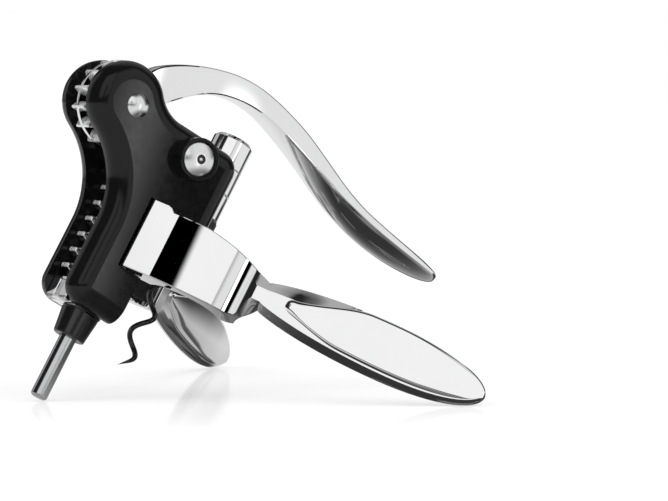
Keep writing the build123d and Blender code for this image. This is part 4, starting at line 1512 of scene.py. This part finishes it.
    def pad(self, reach: float, value: float, split: float, tall: float) -> float:
        """Height of the oval pad that rises from a handle's face.

        Args:
            reach: Distance from the hinge.
            value: Share of the face's height.
            split: Share of the face that lies below the pad.
            tall: Height of the face.

        Returns:
            Height above the face.
        """
        if reach <= self.pad_start or value <= split:
            return 0.0
        inner, outer = (value - split) * tall, (1 - value) * tall
        low = lerp(self.pad_nose_low, 1.0, ease(reach, *self.low_span))
        ways = (inner / low, outer, reach - self.pad_start)
        inside = self.pad_nose - sqrt(sum(max(0.0, self.pad_nose - way) ** 2 for way in ways))
        if inside <= 0:
            return 0.0
        width = lerp(self.pad_nose_edge, self.pad_edge, ease(reach, *self.nose_span))
        edge = sqrt(1 - (1 - min(1.0, inside / width)) ** 2)
        fade = 1 - ease(reach, self.pad_fade, self.handle_length)
        share = inner / (inner + outer)
        crown = self.pad_crown * (1 - (2 * share - 1) ** 2)
        return edge * fade * (self.pad_rise * lerp(low, 1.0, share) + crown)

    def spot(self, u: float, w: float, z: float) -> Spot:
        """Tool coordinates of a point of the jaw.

        Args:
            u: Distance from the hinge along the jaw.
            w: Distance out from the hinge's line.
            z: Height.

        Returns:
            The point on this jaw's side.
        """
        turn = self.open_turn
        x = self.hinge[0] + u * cos(turn) - w * sin(turn)
        y = self.hinge[1] + u * sin(turn) + w * cos(turn)
        return (x, self.side.value * y, z)

    def build(self) -> None:
        """Makes the jaw and handle as one casting."""
        rings = [self.section(outer, inner) for outer, inner in self.ribs()]
        nose, tip = self.pad_start + self.pad_nose, self.handle_length - self.tip_length
        stem, first, rise, fall, last = self.leaf_ribs
        reaches = spread(self.neck + self.leaf_gaps[0], self.pad_start - self.leaf_gaps[1], stem)
        reaches += [lerp(self.pad_start, nose, 1 - cos(pi / 2 * share)) for share in spread(0, 1, first)]
        reaches += spread(nose, self.widest, rise)[1:] + spread(self.widest, tip, fall)[1:]
        reaches += [lerp(tip, self.handle_length, sin(pi / 2 * share)) for share in spread(0, 1, last)][1:]
        rings += [self.handle_section(reach) for reach in reaches]
        body = Body.LEFT_JAW if self.side is Side.LEFT else Body.RIGHT_JAW
        casting = self.shop.skin(body.value + "_casting", rings)
        casting.data.set_sharp_from_angle(angle=self.crease)
        self.shop.fit(casting, body, CHROME, body.value)


@dataclass(frozen=True)
class Panel:
    """A soft light panel far away, as polished metal mirrors it, with its angles in degrees."""

    azimuth: float
    elevation: float
    half_width: float
    half_height: float
    level: float
    soft: float


@dataclass(frozen=True)
class PaintedShadeSpot:
    """A soft round or band of painted shade on the floor, standing in for the shade under the tool, that only
    polished metal mirrors.

    Attributes:
        middle: Its middle, in metres.
        reach: Radius where it starts to fade and where it ends.
        level: Brightness in its middle.
        along: From the middle to the end of a band. A round has none.
    """

    middle: Flat
    reach: Flat
    level: float
    along: Flat = (0.0, 0.0)

    def off(self, nodes: Nodes, place: Socket) -> Socket:
        """Distance from its middle line.

        Args:
            nodes: The node tree to build in.
            place: Output with the place on the floor.

        Returns:
            Output with the distance in metres.
        """
        along = Vector((*self.along, 0))
        gap = nodes.vector("SUBTRACT", place, (*self.middle, 0))
        if not along.length:
            return nodes.vector("LENGTH", gap, output="Value")
        share = nodes.vector("DOT_PRODUCT", gap, along / along.length_squared, output="Value")
        share = nodes.math("MINIMUM", nodes.math("MAXIMUM", share, -1.0), 1.0)
        near = nodes.add("ShaderNodeVectorMath", {0: along, "Scale": share}, operation="SCALE").outputs[0]
        return nodes.vector("DISTANCE", gap, near, output="Value")


@dataclass(frozen=True)
class Lamp:
    """A wide sun lamp that mirrors don't show, with its angles in degrees."""

    name: str
    energy: float
    angle: float
    azimuth: float
    elevation: float


@dataclass(frozen=True)
class Card:
    """A soft-edged card that a flat of the tool mirrors to the picture's viewer.

    Attributes:
        name: Name of the card.
        flat: Point of the flat in the tool's frame.
        normal: Direction that the flat faces, in the tool's axes.
        lean: Direction of the card's first side, in the tool's axes.
        size: Half of its two sides, in metres.
        off: Distance from the flat, in metres.
        level: Brightness.
        fade: Width of the fading edge at both ends of the first side, with the side from -1 to 1.
        fade_end: The same for the second side.
    """

    name: str
    flat: Spot
    normal: Spot
    lean: Spot
    size: Flat
    off: float
    level: float
    fade: Flat
    fade_end: Flat


@dataclass
class Studio:
    """White floor, soft light, mirrored panels and the camera.

    Angles are in degrees and lengths in metres. The focal length and the picture's width are in pixels, the
    sensor is in millimetres, and the camera is set by its offsets from the pivot across and along the view.
    """

    tool: ToolFrame
    azimuth: float = 30.4
    dip: float = 3.11
    focal: float = 3750.0
    width: float = 668.0
    aside: float = 0.0865
    below: float = 0.05826
    distance: float = 1.5
    diffuse_level: float = 0.4
    shade_level: float = 0.02
    floor_half: float = 6.0
    floor_glow: float = 0.6
    floor_mirror: float = 0.2
    mirror_reach: Flat = (0.07, 0.2)
    floor_rough: float = 0.06
    # Painted shade on the floor, seen only in reflections: dark rounds and bands under the tool.
    painted_shade_spots: tuple[PaintedShadeSpot, ...] = (
        PaintedShadeSpot((0.03, -0.06), (0.05, 0.2), 0.04),
        PaintedShadeSpot((0.13, 0.07), (0.02, 0.08), 0.06),
        PaintedShadeSpot((0.055, 0.079), (0.002, 0.008), 0.08, (-0.013, 0.0095)),
        PaintedShadeSpot((0.02, 0.0825), (0.004, 0.012), 0.04, (0.018, 0.012)),
        PaintedShadeSpot((0.25, 0.05), (0.05, 0.08), 0.05, (0.06, 0.012)),
    )
    bright_level: float = 0.86
    floor_drop: float = 0.0002
    floor_white: float = 0.98
    sensor: float = 36.0
    clip: float = 0.05
    lamp_list: tuple[Lamp, ...] = (
        Lamp("soft_lamp", 2.0, 80.0, 300.0, 62.0), Lamp("back_lamp", 1.2, 40.0, 170.0, 35.0),
    )
    card_list: tuple[Card, ...] = (
        Card("jaw_card", (34.8, -30.2, -44.0), (-sin(JAW_TURN), -cos(JAW_TURN), 0.0),
             (cos(JAW_TURN), -sin(JAW_TURN), 0.0), (0.0107, 0.05), 0.2, 0.0, (0.04, 0.34), (0.04, 0.04)),
        Card("cheek_card", (7.0, -18.0, -34.0), (0.0, -1.0, 0.0), (1.0, 0.0, 0.2), (0.018, 0.085), 0.3, 4.5,
             (0.8, 0.8), (0.5, 0.5)),
        Card("cheek_shade", (19.0, -18.0, -40.0), (0.0, -1.0, 0.0), (1.0, 0.0, 0.0), (0.05, 0.062), 0.36, 0.0,
             (0.3, 0.3), (0.3, 0.3)),
    )
    panels: tuple[Panel, ...] = (
        Panel(59.6, 4.0, 13.0, 8.0, 1.0, 4.0),
        Panel(40.0, 50.0, 30.0, 14.0, 0.45, 24.0),
        Panel(237.0, 36.0, 25.0, 22.0, 1.0, 8.0),
        Panel(300.0, 10.0, 24.0, 34.0, 0.85, 22.0),
        Panel(118.0, 24.0, 12.0, 20.0, 0.5, 8.0),
    )

    def view(self) -> Matrix:
        """Where the camera stands and looks.

        Returns:
            Transform with the camera's right, up and back directions.
        """
        turn, dip = radians(self.azimuth), radians(self.dip)
        ahead = Vector((sin(turn) * cos(dip), cos(turn) * cos(dip), -sin(dip)))
        right = Vector((cos(turn), -sin(turn), 0.0))
        up = right.cross(ahead)
        matrix = Matrix((right, up, -ahead)).transposed().to_4x4()
        matrix.translation = self.tool.pivot + right * self.aside - up * self.below - ahead * self.distance
        return matrix

    def camera(self) -> None:
        """Sets the camera at the picture's viewing angle."""
        data = bpy.data.cameras.new("camera")
        data.sensor_width = self.sensor
        data.lens = self.focal / self.width * data.sensor_width
        data.clip_start = self.clip
        camera = put("camera", data)
        camera.matrix_world = self.view()
        bpy.context.scene.camera = camera

    def world(self) -> None:
        """Makes a white background, an even fill light and the mirrored panels."""
        world = bpy.data.worlds.new("studio")
        bpy.context.scene.world = world
        world.use_nodes = True
        nodes = Nodes(world.node_tree)
        way = nodes.add("ShaderNodeSeparateXYZ", {0: nodes.add("ShaderNodeTexCoord").outputs["Generated"]})
        azimuth = nodes.math("ARCTAN2", way.outputs["Y"], way.outputs["X"])
        elevation = nodes.math("ARCSINE", way.outputs["Z"])
        mirrored: Socket | float = self.shade_level
        for panel in self.panels:
            off = nodes.math("WRAP", nodes.math("SUBTRACT", azimuth, radians(panel.azimuth)), pi, -pi)
            lift = nodes.math("SUBTRACT", elevation, radians(panel.elevation))
            parts = []
            for value, half in ((off, panel.half_width), (lift, panel.half_height)):
                reach = nodes.math("ABSOLUTE", value)
                ends = radians(half), radians(half + panel.soft)
                parts.append(nodes.ramp(reach, *ends, 1.0, 0.0, smooth=True))
            lit = nodes.math("MULTIPLY", nodes.math("MULTIPLY", *parts), panel.level)
            mirrored = nodes.math("MAXIMUM", lit, mirrored)
        path = nodes.add("ShaderNodeLightPath").outputs
        seen = nodes.math("MAXIMUM", path["Is Camera Ray"], path["Is Transmission Ray"])
        level = nodes.mix(seen, nodes.mix(path["Is Glossy Ray"], self.diffuse_level, mirrored), 1.0)
        light = nodes.add("ShaderNodeBackground", {"Color": WHITE, "Strength": level})
        nodes.add("ShaderNodeOutputWorld", {"Surface": light.outputs[0]})

    def lamps(self) -> None:
        """Hangs a wide soft lamp over the tool and a weaker one behind its back edge."""
        for lamp in self.lamp_list:
            data = bpy.data.lights.new(lamp.name, "SUN")
            data.energy = lamp.energy
            data.angle = radians(lamp.angle)
            piece = put(lamp.name, data)
            piece.rotation_euler = (0, radians(90 - lamp.elevation), radians(lamp.azimuth))
            piece.visible_glossy = False

    def sheet(self, name: str, middle: Vector, across: Vector, along: Vector) -> Piece:
        """Makes a flat stage piece that runs from -1 to 1 in its own coordinates.

        Args:
            name: Name of the piece.
            middle: Its middle.
            across: Half of its first side.
            along: Half of its second side.

        Returns:
            The new stage object.
        """
        mesh = bpy.data.meshes.new(name)
        mesh.from_pydata([(-1, -1, 0), (1, -1, 0), (1, 1, 0), (-1, 1, 0)], [], [(0, 1, 2, 3)])
        piece = put(name, mesh)
        matrix = Matrix((across, along, across.cross(along).normalized())).transposed().to_4x4()
        piece.matrix_world = Matrix.Translation(middle) @ matrix
        return piece

    def floor(self) -> None:
        """Lays the white floor with the tool's shadow, and painted shade where polished metal above it mirrors
        it.
        """
        half = self.floor_half
        centre = Vector((0, 0, -self.floor_drop))
        piece = self.sheet("floor", centre, Vector((half, 0, 0)), Vector((0, half, 0)))
        material, nodes = blank_material("white_floor")
        path = nodes.add("ShaderNodeLightPath").outputs
        place = nodes.add("ShaderNodeNewGeometry").outputs["Position"]
        mirrored: Socket | float = self.bright_level
        # Each spot is painted shade: it darkens the floor as glossy rays see it.
        for dark in self.painted_shade_spots:
            levels = dark.level, self.bright_level
            shade = nodes.ramp(dark.off(nodes, place), *dark.reach, *levels, smooth=True)
            mirrored = nodes.math("MINIMUM", shade, mirrored)
        level = nodes.mix(path["Is Glossy Ray"], 1.0, mirrored)
        seen = nodes.math("MULTIPLY", path["Is Camera Ray"], self.floor_glow)
        share = nodes.math("MAXIMUM", seen, path["Is Glossy Ray"])
        matt = nodes.add("ShaderNodeBsdfDiffuse", {"Color": (*3 * (self.floor_white,), 1)})
        glow = nodes.add("ShaderNodeEmission", {"Color": WHITE, "Strength": level})
        mirror = nodes.add("ShaderNodeBsdfGlossy", {"Color": WHITE, "Roughness": self.floor_rough})
        away = nodes.vector("LENGTH", place, output="Value")
        shine = nodes.ramp(away, *self.mirror_reach, self.floor_mirror, 0.0, smooth=True)
        full = nodes.overlay(shine, nodes.overlay(share, matt, glow), mirror)
        nodes.add("ShaderNodeOutputMaterial", {"Surface": full.outputs[0]})
        piece.data.materials.append(material)

    def card(self, card: Card) -> None:
        """Sets a card where the tool mirrors it to the picture's viewer, seen in mirrors alone.

        Args:
            card: The card.
        """
        point, normal = self.tool.place(*card.flat), self.tool.turn(*card.normal)
        along = self.tool.turn(*card.lean)
        to_viewer = (self.view().translation - point).normalized()
        facing = (normal * 2 * normal.dot(to_viewer) - to_viewer).normalized()
        across = (along - facing * along.dot(facing)).normalized()
        piece = self.sheet(card.name, point + facing * card.off, across * card.size[0],
                           facing.cross(across) * card.size[1])
        piece.visible_camera = piece.visible_diffuse = piece.visible_shadow = False
        piece.visible_transmission = False
        material, nodes = blank_material(card.name)
        spot = nodes.add("ShaderNodeSeparateXYZ", {0: nodes.add("ShaderNodeTexCoord").outputs["Object"]})
        mask: Socket | float = 1.0
        for name, (low, high) in (("X", card.fade), ("Y", card.fade_end)):
            for shown in (nodes.ramp(spot.outputs[name], -1.0, low - 1.0, 0.0, 1.0, smooth=True),
                          nodes.ramp(spot.outputs[name], 1.0 - high, 1.0, 1.0, 0.0, smooth=True)):
                mask = nodes.math("MULTIPLY", shown, mask)
        clear = nodes.add("ShaderNodeBsdfTransparent")
        light = nodes.add("ShaderNodeEmission", {"Color": WHITE, "Strength": card.level})
        mixed = nodes.overlay(mask, clear, light)
        nodes.add("ShaderNodeOutputMaterial", {"Surface": mixed.outputs[0]})
        piece.data.materials.append(material)

    def build(self) -> None:
        """Sets up the whole studio."""
        bpy.context.scene.view_settings.view_transform = "Standard"
        self.camera()
        self.world()
        self.lamps()
        self.floor()
        for card in self.card_list:
            self.card(card)


def main() -> None:
    """Builds every sub-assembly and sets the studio."""
    logging.basicConfig(level=logging.INFO, format="%(name)s: %(message)s")
    tool = ToolFrame.from_joints(frame["joints"])
    shop = Workshop(tool)
    teeth, cut = ToothRow(shop), GearCut()
    for part in (CheekBolts(shop), Lever(shop, teeth, cut), Carriage(shop, teeth, cut), Worm(shop),
                 Jaw(shop, Side.LEFT), Jaw(shop, Side.RIGHT)):
        part.build()
    Studio(tool).build()


if __name__ == "__main__":
    main()
